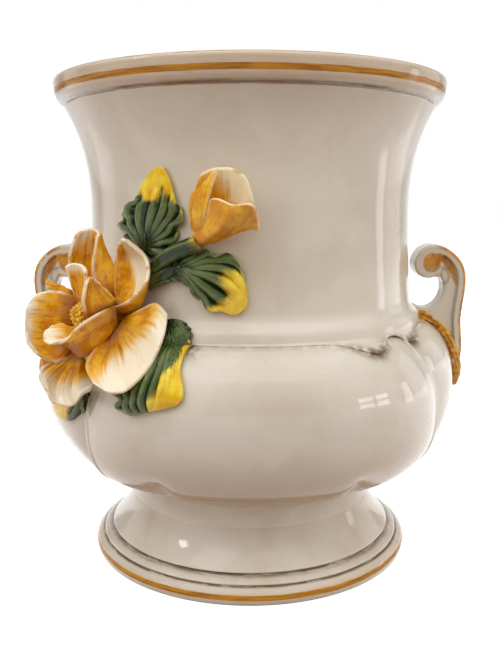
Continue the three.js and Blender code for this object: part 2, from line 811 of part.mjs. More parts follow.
addClear('flower_seat', flowerSeat(0), flowerSeat(clearance), petalGlaze());
addClear('stamen_cluster', stamenCluster(0), stamenCluster(clearance), stamenGlaze());
for (const [name, shape] of Object.entries(petals)) {
  const surface = petalSurface(shape);
  addSheet(name, (u, v) => surface(u, v).add(heart), petalThickness, petalAcross, petalAlong, petalGlaze());
}
const stem = stemCourse.map(onSkin);
addClear('stem', tube(stem, stemRadius, 12), tube(stem, stemRadius + clearance, 12), leafGlaze());
addClear('bud_heart', budHeart(0), budHeart(clearance), petalGlaze());
for (const [name, shape] of Object.entries(budPetals)) {
  const surface = petalSurface(shape);
  const place = (u, v) => inBud(surface(u, v).toArray());
  addSheet(name, place, budPetalThickness, petalAcross, petalAlong, petalGlaze());
}
for (const [name, shape] of Object.entries(leaves)) {
  addSheet(name, leafSurface(shape), leafThickness, leafAcross, leafAlong, leafGlaze());
}

export default urn;
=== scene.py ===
import math

import bmesh
import bpy
import numpy as np
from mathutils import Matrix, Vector


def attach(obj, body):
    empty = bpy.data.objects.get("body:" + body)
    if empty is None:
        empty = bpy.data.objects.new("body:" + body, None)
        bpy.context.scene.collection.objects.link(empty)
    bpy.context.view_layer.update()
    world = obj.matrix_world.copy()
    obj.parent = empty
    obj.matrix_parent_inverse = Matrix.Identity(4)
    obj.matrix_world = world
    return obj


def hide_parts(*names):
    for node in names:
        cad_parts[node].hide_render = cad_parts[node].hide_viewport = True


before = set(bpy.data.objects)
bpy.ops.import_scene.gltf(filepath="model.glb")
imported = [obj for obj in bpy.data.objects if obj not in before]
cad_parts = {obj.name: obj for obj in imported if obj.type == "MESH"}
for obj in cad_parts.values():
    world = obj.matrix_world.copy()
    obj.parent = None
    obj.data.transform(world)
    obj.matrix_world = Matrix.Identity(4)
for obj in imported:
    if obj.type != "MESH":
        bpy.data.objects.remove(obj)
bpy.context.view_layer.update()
print("frame loaded:", len(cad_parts), "nodes")

metresPerMillimetre = 0.001


# Small helpers. Every shape below is worked out in millimetres.

def ease(low, high, value):
    share = np.clip((np.asarray(value, float) - low) / (high - low), 0, 1)
    return share * share * (3 - 2 * share)


def hump(middle, width, value):
    return np.exp(-(((np.asarray(value, float) - middle) / width) ** 2))


def blendTo(start, end, share):
    return start + (end - start) * share


def unit(vectors):
    return vectors / np.maximum(np.linalg.norm(vectors, axis=-1, keepdims=True), 1e-9)


# A point at an azimuth from the front, a distance from the axis and a height.
def polar(azimuth, radius, height):
    azimuth, radius, height = np.broadcast_arrays(azimuth, radius, height)
    turn = np.radians(azimuth)
    return np.stack([radius * np.sin(turn), -radius * np.cos(turn), height], axis=-1)


# A smooth course through a few points.
def flowing(points, steps=6, closed=False):
    points = np.array(points, float)
    if closed:
        padded = np.vstack([points[-1], points, points[0], points[1]])
    else:
        padded = np.vstack([2 * points[0] - points[1], points, 2 * points[-1] - points[-2]])
    share = np.linspace(0, 1, steps, endpoint=False)[:, None]
    spans = []
    for a, b, c, d in zip(padded, padded[1:], padded[2:], padded[3:]):
        spans.append(0.5 * (2 * b + (c - a) * share + (2 * a - 5 * b + 4 * c - d) * share**2
                            + (3 * b - a - 3 * c + d) * share**3))
    course = np.vstack(spans)
    return course if closed else np.vstack([course, points[-1]])


# Soft uneven values between about -1 and 1, always the same for the same seed.
def wavy(x, y, seed, scale=1.0):
    picker = np.random.RandomState(seed)
    total = 0
    for octave in range(1, 5):
        turn, phase = picker.uniform(0, math.tau, 2)
        reach = scale * 1.7**octave
        total = total + np.sin((x * math.cos(turn) + y * math.sin(turn)) * reach + phase) / octave
    return total / 2


# Makes the mesh, and keeps numbers that its material reads as named attributes of its points.
def newMesh(name, points, faces, marks=None, weld=0.0005):
    mesh = bpy.data.meshes.new(name)
    mesh.from_pydata((np.asarray(points) * metresPerMillimetre).tolist(), [], faces)
    for key, values in (marks or {}).items():
        layer = mesh.attributes.new(key, "FLOAT", "POINT")
        layer.data.foreach_set("value", np.broadcast_to(values, len(points)).astype(np.float32))
    piece = bpy.data.objects.new(name, mesh)
    bpy.context.scene.collection.objects.link(piece)
    if weld:
        welding = piece.modifiers.new("weld", "WELD")
        welding.merge_threshold = weld * metresPerMillimetre
    mesh.polygons.foreach_set("use_smooth", [True] * len(mesh.polygons))
    return piece


def applied(piece):
    depsgraph = bpy.context.evaluated_depsgraph_get()
    mesh = bpy.data.meshes.new_from_object(piece.evaluated_get(depsgraph))
    piece.modifiers.clear()
    piece.data = mesh
    mesh.polygons.foreach_set("use_smooth", [True] * len(mesh.polygons))
    return piece


def standIn(piece, material, slot, *nodes):
    piece.data.materials.clear()
    piece.data.materials.append(material)
    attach(piece, "root")
    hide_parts(*nodes)
    return piece


# Faces over a grid of rows, closed round the rows when asked.
def gridFaces(rows, columns, roundRows=False, roundColumns=False):
    faces = []
    for i in range(rows if roundRows else rows - 1):
        for j in range(columns if roundColumns else columns - 1):
            a, b = i * columns + j, ((i + 1) % rows) * columns + j
            c, d = ((i + 1) % rows) * columns + (j + 1) % columns, i * columns + (j + 1) % columns
            faces.append((a, b, c, d))
    return faces


# The urn's own shape.

urn = {
    "height": 300, "grooveRadius": 116.5, "flarePower": 2.5,
    "grooveHeight": 285.5, "waistRadius": 101.7, "waistHeight": 221, "neckFootRadius": 105,
    "collarTop": 163,
}
lobes = {
    "turn": 8, "wide": 110, "bend": 8, "bendFrom": 112, "bendTo": 148, "sharpness": 3,
    "widest": (134.9, 114), "shoulder": (106, 153.2), "bottom": (79.5, 54), "sideBottom": (79.5, 58),
    "crease": (127.3, 102), "creaseTop": (104.5, 150), "creaseBottom": (79.5, 58.5),
    "fullness": 2.2, "sideFullness": 1.9, "creaseFullness": 2.6, "creaseShoulder": 1.9,
    "edge": 0.9, "edgeWidth": 0.5, "valleyTurn": 5, "valleyAt": 28, "valleyDepth": 4.2,
}


# How far an azimuth is from the middle of the nearest wide lobe, with its sign.
def fromWideLobe(azimuth):
    return (np.asarray(azimuth, float) - lobes["turn"] + 90) % 180 - 90


# The creases lean in towards the wide lobes near the shoulder: this moves an azimuth with them.
def leaned(azimuth, height, back=False):
    half = lobes["wide"] / 2
    here = half - lobes["bend"] * ease(lobes["bendFrom"], lobes["bendTo"], height)
    source, target = (here, half) if back else (half, here)
    offset = fromWideLobe(azimuth)
    away = np.abs(offset)
    moved = np.where(away <= source, away * target / source,
                     90 - (90 - away) * (90 - target) / (90 - source))
    return azimuth - offset + np.sign(offset) * moved


def bulge(bottom, widest, top, lowerPower, upperPower, place):
    turn = np.abs(place) * math.pi / 2
    power = np.where(place < 0, lowerPower, upperPower)
    out = np.cos(turn).clip(0) ** (2 / power)
    rise = np.sin(turn).clip(0) ** (2 / power)
    end = np.where((place < 0)[..., None], np.array(bottom, float), np.array(top, float))
    return (end[..., 0] + (widest[0] - end[..., 0]) * out,
            widest[1] + (end[..., 1] - widest[1]) * rise)


# Under each wide lobe two valleys run up from the foot and fade out: sharp inside, gentle outside.
def valley(azimuth, height):
    past = np.abs(fromWideLobe(azimuth) + lobes["valleyTurn"]) - lobes["valleyAt"]
    across = np.where(past < 0, hump(0, 3.2, past), hump(0, 9, past))
    return lobes["valleyDepth"] * across * ease(86, 66, height) * ease(54, 59, height)


# The belly's skin: radius and height for an azimuth and a place from -1 at its foot to 1 at its top.
def bellySkin(azimuth, place):
    azimuth, place = np.broadcast_arrays(np.asarray(azimuth, float), np.asarray(place, float))
    away = np.abs(fromWideLobe(azimuth))
    half = lobes["wide"] / 2
    wide = (away <= half)
    offset = np.where(wide, away / half, (90 - away) / (90 - half))
    share = 1 - np.minimum(1, offset) ** lobes["sharpness"]
    wideR, wideZ = bulge(lobes["bottom"], lobes["widest"], lobes["shoulder"], lobes["fullness"], 2, place)
    sideR, sideZ = bulge(lobes["sideBottom"], lobes["widest"], lobes["shoulder"],
                         lobes["sideFullness"], 2, place)
    creaseR, creaseZ = bulge(lobes["creaseBottom"], lobes["crease"], lobes["creaseTop"],
                             lobes["creaseFullness"], lobes["creaseShoulder"], place)
    radius = blendTo(creaseR, np.where(wide, wideR, sideR), share)
    height = blendTo(creaseZ, np.where(wide, wideZ, sideZ), share)
    edge = lobes["edge"] * hump(half, lobes["edgeWidth"], away + 0.25) * ease(-0.75, -0.45, place)
    return radius + edge * ease(1, 0.9, place) - valley(azimuth, height) * (place < 0), height


def neckRadius(height):
    height = np.asarray(height, float)
    flare = np.clip((height - urn["waistHeight"]) / (urn["grooveHeight"] - urn["waistHeight"]), 0, 1)
    spread = np.clip((urn["waistHeight"] - height) / (urn["waistHeight"] - urn["collarTop"]), 0, 1)
    return (urn["waistRadius"] + (urn["grooveRadius"] - urn["waistRadius"]) * flare ** urn["flarePower"]
            + (urn["neckFootRadius"] - urn["waistRadius"]) * spread**1.5)


# A table of the belly's radius over azimuth and height, for laying leaves on it.
skinHeights = np.arange(50, 154, 0.5)
skinTurns = np.arange(0, 360, 1.0)


def makeSkinTable():
    place = np.linspace(-1, 1, 160)
    rows = []
    for turn in skinTurns:
        radius, height = bellySkin(leaned(turn, 0) * np.ones_like(place), place)
        rows.append(np.interp(skinHeights, height, radius))
    return np.array(rows)


skinTable = makeSkinTable()


def bellyRadius(azimuth, height):
    azimuth, height = np.broadcast_arrays(np.asarray(azimuth, float), np.asarray(height, float))
    turn = leaned(azimuth, height, back=True) % 360
    row = np.floor(turn).astype(int) % 360
    column = np.clip((height - skinHeights[0]) / 0.5, 0, len(skinHeights) - 1.001)
    low = np.floor(column).astype(int)
    part, across = turn - np.floor(turn), column - low
    after = (row + 1) % 360
    lower = blendTo(skinTable[row, low], skinTable[after, low], part)
    upper = blendTo(skinTable[row, low + 1], skinTable[after, low + 1], part)
    return np.where(height > skinHeights[-1], 0, blendTo(lower, upper, across))


def collarBead(height):
    course = [(140, 109.6), (150, 110.8), (154, 111), (157.5, 110.5), (160, 109.1), (161.8, 107.3),
              (163, 106.1), (164.6, 105.4)]
    heights, radii = zip(*course)
    return np.interp(height, heights, radii)


def skinRadius(azimuth, height):
    height = np.asarray(height, float)
    neck = np.where(height > 164, neckRadius(height), np.where(height > 137, collarBead(height), 0))
    return np.maximum(neck, bellyRadius(azimuth, height))


def onSkin(azimuth, height, lift):
    return polar(azimuth, skinRadius(azimuth, height) + lift, height)


# The body: neck, belly and foot.

# The patch set by the last two entries lies below the hem beside the leaves: brown stain with painted shade around the
# leaves' feet.
collar = {
    "hem": 152, "droopAt": -19.5, "droopWidth": 7.5, "droop": 6, "sideDroopAt": 2, "sideDroopWidth": 5.5,
    "sideDroop": 6, "flap": 0.35, "droopFlap": 1.0, "stainAndShadeAt": -25, "stainAndShadeWidth": 4,
}


# The height of the collar's hem: it droops before and behind a crease.
def hemHeight(azimuth):
    offset = fromWideLobe(azimuth)
    past = np.abs(offset) - (lobes["wide"] / 2 - lobes["bend"])
    return (collar["hem"] - collar["droop"] * hump(collar["droopAt"], collar["droopWidth"], past) * ease(-8, 8, offset)
            - collar["sideDroop"] * hump(collar["sideDroopAt"], collar["sideDroopWidth"], past))


def droopShare(azimuth):
    return np.clip((collar["hem"] - hemHeight(azimuth)) / collar["droop"], 0, 1)


def makeNeck():
    turns = np.arange(0, 360, 1.0)
    hem = hemHeight(turns)
    rows, stainAndShade, outside = [], [], []

    def row(radius, height, mark=0.0, outer=1.0):
        rows.append(polar(turns, radius, height))
        stainAndShade.append(np.broadcast_to(mark, turns.shape))
        outside.append(np.broadcast_to(outer, turns.shape))

    under = bellyRadius(turns, hem)
    flap = collar["flap"] + collar["droopFlap"] * droopShare(turns)
    # The hem and the drooping collar carry a mark for brown stain together with painted shade under the collar's edge.
    row(under - 3, hem - 0.8, 1)
    row(under - 0.2, hem - 0.2, 1)
    row(under + flap * 0.55, hem + 0.2, 0.35 + 0.65 * droopShare(turns))
    for share in np.linspace(0.08, 1, 12):
        height = blendTo(hem + 0.2, 155, share)
        laid = bellyRadius(turns, height) + flap * (0.7 + 0.3 * ease(0, 0.3, share))
        bead = collarBead(height)
        radius = np.maximum(laid, bead) + 0.6 * hump(0, 2.5, laid - bead)
        row(radius, height, (0.8 * droopShare(turns) + 0.12) * (1 - ease(0.05, 0.6, share)))
    for height in (156.5, 158, 159.4, 160.6, 161.6, 162.4, 163.2, 164.2):
        row(collarBead(height), height)
    for height in np.linspace(166, urn["grooveHeight"] - 1.6, 46):
        row(neckRadius(height), height)
    lip = flowing([(116, 284.6), (115.9, 285.4), (117, 286.1), (119, 287.4), (120.5, 289.4),
                   (121.3, 291.8), (121.8, 294), (122.3, 296.6), (122.3, 298.4), (121.7, 299.7),
                   (120.3, 300)], 3)
    for radius, height in lip:
        row(radius, height)
    inner = flowing([(117, 300), (115.1, 299.7), (113.9, 298.6), (113.3, 296.5), (112, 292),
                     (108.6, 282), (104.3, 272), (99.2, 258), (96, 243), (94.8, 228), (94.7, 210),
                     (95.6, 190), (97.4, 170), (94.7, 152), (94.7, 148)], 5)
    for radius, height in inner:
        row(radius, height, outer=ease(297, 300, height))
    points = np.concatenate(rows)
    faces = gridFaces(len(rows), len(turns), roundRows=True, roundColumns=True)
    faces = [face[::-1] for face in faces]
    return newMesh("neckBell", points, faces, {"stainAndShade": np.concatenate(stainAndShade), "outside": np.concatenate(outside)})


# Azimuths round the belly, closer together at the creases.
def lobeTurns():
    turns = set(np.arange(0, 360, 1.0))
    for crease in (-47, 63, 133, 243):
        turns |= {(crease + step) % 360 for step in (-2.5, -1.5, -0.75, -0.5, -0.25, 0.25, 0.5, 0.75, 1.5, 2.5)}
    return np.array(sorted(turns))


def makeBelly():
    turns = lobeTurns()
    places = np.sin(np.linspace(-1, 1, 97) * math.pi / 2)
    rows, stainAndShade, wearAndHighlight = [], [], []
    hem = hemHeight(turns)
    crest = hump(lobes["wide"] / 2, 0.45, np.abs(fromWideLobe(turns)) + 0.25)
    for place in places:
        radius, height = bellySkin(turns, np.full_like(turns, place))
        azimuth = leaned(turns, height)
        below = hemHeight(azimuth) - height
        strength = 0.3 + 0.7 * droopShare(azimuth)
        rows.append(polar(azimuth, radius, height))
        # Below the hem: brown stain with painted shade under the collar, strongest where it droops, and a patch of
        # both beside the leaves.
        patch = hump(collar["stainAndShadeAt"], collar["stainAndShadeWidth"], fromWideLobe(azimuth))
        width = 1.4 + 2.2 * droopShare(azimuth)
        stainAndShade.append(np.maximum(strength * hump(0, width, np.maximum(below, -1)),
                                patch * hump(1, 5, np.maximum(below, 1)) * (below > -1)))
        # Along the wide lobe's raised edge: paler, thinner glaze with a painted highlight.
        wearAndHighlight.append(crest * ease(-0.75, -0.4, place))
    for radius, height in [(98.5, 152.4), (98.5, 159.6), (97.4, 160.6), (95.6, 160.6), (94.8, 159.8)]:
        rows.append(polar(turns, radius, height))
        stainAndShade.append(0 * turns)
    bowl = flowing([(94.7, 152), (97, 147), (107, 140.6), (115.6, 127), (119.2, 108), (113, 85),
                    (97, 68), (80, 62), (66, 60.3), (40, 60), (0.01, 60)], 5)
    for radius, height in bowl:
        rows.append(polar(turns, radius, height))
        stainAndShade.append(0 * turns)
    rows.append(polar(turns, 0.01, 52))
    rows.append(polar(turns, 60.2, 52))
    rows.append(polar(turns, 60.2, 46.2))
    rows.append(polar(turns, 66, 46.2))
    rows.append(polar(turns, 66, 52))
    stainAndShade += [0 * turns] * 5
    points = np.concatenate(rows)
    faces = gridFaces(len(rows), len(turns), roundRows=True, roundColumns=True)
    faces = [face[::-1] for face in faces]
    wearAndHighlight = np.concatenate(wearAndHighlight + [0 * turns] * (len(rows) - len(places)))
    return newMesh("lobedBelly", points, faces, {"stainAndShade": np.concatenate(stainAndShade), "wearAndHighlight": wearAndHighlight}, weld=0.05)


def makeFoot():
    outside = [
        (103.9, 0), (104.5, 0.3), (105, 1.4), (105.3, 3), (105.3, 4.6), (104.9, 6.2), (104, 7.6),
        (102.6, 8.7), (101, 9.4), (99.9, 9.9), (100, 10.3), (99.7, 11), (98.8, 11.9), (97, 12.8),
        (94.6, 13.3), (92.8, 13.7), (93.4, 14.3), (94.2, 15), (93.4, 16.2), (89.9, 20), (86.8, 24),
        (84.2, 28), (82.2, 32), (81, 34.8), (80.8, 35.6), (80.4, 36.4), (80, 40), (79.7, 46),
        (79.4, 52), (79.3, 56),
    ]
    inside = [(72, 57), (66.6, 55), (66.5, 46.5), (70.5, 37), (74.5, 28), (80, 20), (89, 10),
              (92.4, 3), (93.2, 0)]
    loop = np.vstack([flowing(outside, 3), flowing(inside, 3)])
    turns = np.arange(0, 360, 1.5)
    points = np.concatenate([polar(turns, radius, height) for radius, height in loop])
    faces = [face[::-1] for face in gridFaces(len(loop), len(turns), True, True)]
    return newMesh("spreadingFoot", points, faces, {"stainAndShade": 0.0})


handle = {
    "reach": 141.6, "plate": 8.2, "band": 10.4, "bandWidth": 5.2, "round": 1.8, "grain": 0.6,
    "eye": (23, 188.6), "eyeRadius": 6.2,
}
# Distances in from the handle's outermost point, and heights; the first 21 follow the raised band.
handleEdge = [
    (6, 119.5), (2.4, 122), (0.8, 131), (1.6, 143), (2.2, 151), (1.5, 160), (0.4, 169), (0, 177.5),
    (1.4, 185), (4.6, 190.7), (10.3, 196), (16.5, 199.3), (22.5, 200.3), (28.3, 198.2), (32, 194),
    (34, 188.3), (33, 183.2), (30.2, 179.9), (25.5, 178.4), (20.5, 179.3), (17, 179.5),
    (14.6, 175.6), (14.2, 170.5), (15.6, 165.6), (19.2, 161), (24.4, 158.6), (29.4, 159.2),
    (34, 161), (33, 148), (20, 140), (12, 128), (9.5, 119.5),
]
bandEnd = 21
# The ochre comma: the middle of its tail, and how wide it is there.
handleTail = [(17.9, 192.4, 2.6), (12.7, 189, 2.8), (9.3, 183.4, 2.3), (7.2, 177.5, 1.6), (6.1, 173.5, 0.6)]
handleSpine = [(31.5, 156), (23, 151.5), (14.5, 146), (9, 138), (5.6, 129), (3.4, 118), (4.2, 106)]


# The course moved to its inner side by a distance.
def inset(course, distance, closed=False):
    if closed:
        before, after = np.roll(course, 1, axis=0), np.roll(course, -1, axis=0)
    else:
        before = np.vstack([course[:1], course[:-1]])
        after = np.vstack([course[1:], course[-1:]])
    run = unit(after - before)
    return course + distance * np.stack([run[:, 1], -run[:, 0]], axis=1)


# A slab with rounded edges, from an outline in the plane of the handle.
def slab(outline, half, rounding, side):
    across = [-half, -half + 0.3 * rounding, -half + rounding, half - rounding, half - 0.3 * rounding, half]
    insets = [rounding, 0.3 * rounding, 0, 0, 0.3 * rounding, rounding]
    rings = []
    for y, amount in zip(across, insets):
        course = inset(outline, amount, closed=True)
        x = side * (handle["reach"] - course[:, 0])
        rings.append(np.stack([x, np.full(len(course), y), course[:, 1]], axis=1))
    points = np.concatenate(rings)
    count = len(outline)
    faces = gridFaces(len(rings), count, roundColumns=True)
    faces += [tuple(range(count))[::-1], tuple(range(len(points) - count, len(points)))]
    return points, faces


def joined(parts):
    points, faces, start = [], [], 0
    for partPoints, partFaces in parts:
        points.append(partPoints)
        faces += [tuple(start + i for i in face) for face in partFaces]
        start += len(partPoints)
    return np.concatenate(points), faces


def meshPoints(piece):
    flat = np.empty(len(piece.data.vertices) * 3, np.float32)
    piece.data.vertices.foreach_get("co", flat)
    return flat.reshape(-1, 3) / metresPerMillimetre


def setMark(piece, key, values):
    layer = piece.data.attributes.get(key) or piece.data.attributes.new(key, "FLOAT", "POINT")
    layer.data.foreach_set("value", np.asarray(values, np.float32))


def fused(name, parts, grain, smoothing):
    points, faces = joined(parts)
    piece = newMesh(name, points, faces, weld=0)
    remesh = piece.modifiers.new("clay", "REMESH")
    remesh.mode = "VOXEL"
    remesh.voxel_size = grain * metresPerMillimetre
    soften = piece.modifiers.new("soften", "SMOOTH")
    soften.iterations = smoothing
    return applied(piece)


def distanceTo(course, places):
    starts, ends = course[:-1], course[1:]
    run = ends - starts
    best = np.full(len(places), 1e9)
    for start, step in zip(starts, run):
        share = np.clip(((places - start) @ step) / max(step @ step, 1e-9), 0, 1)
        best = np.minimum(best, np.linalg.norm(places - start - share[:, None] * step, axis=1))
    return best


def makeHandle(name, side):
    outline = flowing(handleEdge, 5, closed=True)
    course = flowing(handleEdge[:bandEnd], 5)
    inner = inset(course, handle["bandWidth"])
    band = np.vstack([course, inner[::-1]])
    eyeX, eyeZ = handle["eye"]
    turns = np.linspace(0, math.tau, 40, endpoint=False)
    eye = np.stack([eyeX - np.cos(turns) * handle["eyeRadius"],
                    eyeZ - np.sin(turns) * handle["eyeRadius"]], axis=1)
    parts = [slab(outline, handle["plate"], handle["round"], side),
             slab(band, handle["band"], handle["round"], side),
             slab(eye, handle["plate"] + 2.0, 2.2, side)]
    piece = fused(name, parts, handle["grain"], 5)
    places = meshPoints(piece)
    flat = np.stack([handle["reach"] - side * places[:, 0], places[:, 2]], axis=1)
    edge = distanceTo(course, flat)
    corner = np.hypot(edge - 0.9, np.abs(places[:, 1]) - handle["band"] + 0.9)
    inScroll = ease(14, 24, flat[:, 0]) * ease(160, 172, places[:, 2])
    setMark(piece, "paint", (1 - ease(1.0, 2.0, corner)) * (1 - inScroll))
    eyeAway = np.hypot(flat[:, 0] - eyeX, flat[:, 1] - eyeZ) - handle["eyeRadius"]
    tail = flowing(handleTail, 8)
    tailAway = np.min([np.hypot(flat[:, 0] - x, flat[:, 1] - z) - wide for x, z, wide in tail], axis=0)
    comma = np.minimum(eyeAway, tailAway) + 0.5 * wavy(flat[:, 0] / 3, flat[:, 1] / 3, 9)
    setMark(piece, "comma", (1 - ease(-0.6, 0.4, comma)) * ease(7.4, 8, np.abs(places[:, 1])))
    # Painted shade in the channel where the raised band meets the plate.
    setMark(piece, "channelShade", hump(0, 0.9, edge - handle["bandWidth"] - 0.6) * (1 - inScroll))
    return piece


handleLeaf = {"halfWidth": 12.2, "thickness": 3.4, "foldDepth": 1.0}


def makeHandleLeaf(name, side):
    spine = flowing(handleSpine, 14)
    run = unit(np.gradient(spine, axis=0))
    out = np.stack([-run[:, 1], run[:, 0]], axis=1)
    share = np.linspace(0, 1, len(spine))[:, None]
    turn = np.linspace(0, math.tau, 64, endpoint=False)[None, :]
    wide, thick = np.cos(turn), np.sin(turn)
    wide = np.sign(wide) * np.abs(wide) ** 0.45
    thick = np.sign(thick) * np.abs(thick) ** 0.45
    fold = np.clip(2.2 * wavy(share * 12 + 0.9 * thick, thick * 1.2 + wide, 31), -1, 1)
    taper = (1 - share**4) ** 0.5 * ease(-0.1, 0.12, share)
    halfWidth = handleLeaf["halfWidth"] * (0.91 + 0.09 * fold * np.abs(wide)) * (0.55 + 0.45 * taper)
    lift = handleLeaf["thickness"] * (0.5 + 0.5 * taper) * thick
    lift = lift + handleLeaf["foldDepth"] * fold * (0.3 + 0.7 * np.abs(wide)) * taper
    lift = lift + 1.3 * wavy(share * 14, np.sign(thick) * 2 + wide, 5) * np.abs(thick) * taper
    inwardPlace = spine[:, :1] + out[:, :1] * lift
    heightPlace = spine[:, 1:] + out[:, 1:] * lift
    points = np.stack([side * (handle["reach"] - inwardPlace), wide * halfWidth, heightPlace], axis=2)
    rows, columns = points.shape[:2]
    faces = gridFaces(rows, columns, roundColumns=True)
    faces += [tuple(range(columns)), tuple(range((rows - 1) * columns, rows * columns))[::-1]]
    return newMesh(name, points.reshape(-1, 3), faces,
                   {"fold": np.broadcast_to(fold, (rows, columns)).ravel(),
                    "along": np.broadcast_to(share, (rows, columns)).ravel()}, weld=0)


# Places through a few given ones, at shares from 0 to 1 along them.
def between(places, share):
    padded = np.concatenate([2 * places[:1] - places[1:2], places, 2 * places[-1:] - places[-2:-1]])
    step = np.clip(share, 0, 1) * (len(places) - 1)
    low = np.minimum(np.floor(step).astype(int), len(places) - 2)
    part = (step - low)[..., None]
    if padded.ndim == 2:
        a, b, c, d = (padded[low + i] for i in range(4))
    else:
        row, column = np.indices(low.shape)
        a, b, c, d = (padded[low + i, row, column] for i in range(4))
    return 0.5 * (2 * b + (c - a) * part + (2 * a - 5 * b + 4 * c - d) * part**2
                  + (3 * b - a - 3 * c + d) * part**3)


# A curved face through rows of places, from the petal's base to its rim.
def rowsFace(shape):
    rows = [np.array(row, float) for row in shape["rows"]]
    corner, ruffle = shape.get("corner", 0.06), shape.get("ruffle", 0.35)

    def place(u, v):
        across = np.stack([between(row, (u + 1) / 2) for row in rows])
        rim = 1 - (1 - u**4) * (1 - np.maximum(0, v) ** 4)
        wave = ruffle * rim * wavy(u * 4, v * 4, 23)
        return between(across, v * (1 - corner * u**6)) + wave[..., None] * np.array([0, -1, 0])

    return place


# Turns a face into a thin body: thickness fades to nothing at the rim, and relief bends the whole sheet.
def makeSheet(name, place, shape, relief=None, paint=None, after=None):
    acrossCount, alongCount = shape.get("grid", (57, 65))
    u = np.sin(np.linspace(-1, 1, acrossCount) * math.pi / 2)
    v = (1 - np.cos(np.linspace(0, 1, alongCount) * math.pi)) / 2
    u, v = np.meshgrid(u, v)
    middle = place(u, v)
    normal = unit(np.cross(np.gradient(middle, axis=1), np.gradient(middle, axis=0)))
    halfWidth, length = shape.get("span", (14, 38))
    rimAway = np.minimum((1 - np.abs(u)) * halfWidth, np.minimum(1 - v, v) * length)
    half = shape["thickness"] / 2
    depth = half * np.sqrt(1 - (1 - np.clip(rimAway / half, 0, 1)) ** 2)
    bent = relief(u, v) if relief else 0 * u
    middle = middle + normal * bent[..., None]
    front, back = middle + normal * depth[..., None], middle - normal * depth[..., None]
    points = np.concatenate([front.reshape(-1, 3), back.reshape(-1, 3)])
    if after:
        points = after(points)
    rows, columns = u.shape
    faces = gridFaces(rows, columns)
    count = rows * columns
    faces += [tuple(count + i for i in face)[::-1] for face in faces]
    rim = shape.get("rimShare", 1) * (1 - ease(0.3, 1.4, rimAway)) * ease(0.12, 0.3, v)
    marks = {"across": np.tile(u.ravel(), 2), "along": np.tile(v.ravel(), 2), "rim": np.tile(rim.ravel(), 2),
             "relief": np.tile(bent.ravel(), 2)}
    if paint:
        fore, aft = paint(u, v, 1), paint(u, v, -1)
        for key in fore:
            marks[key] = np.concatenate([(fore[key] + 0 * u).ravel(), (aft[key] + 0 * u).ravel()])
    return newMesh(name, points, faces, marks)


flowerHeart = polar(-42, 122.5, 163)

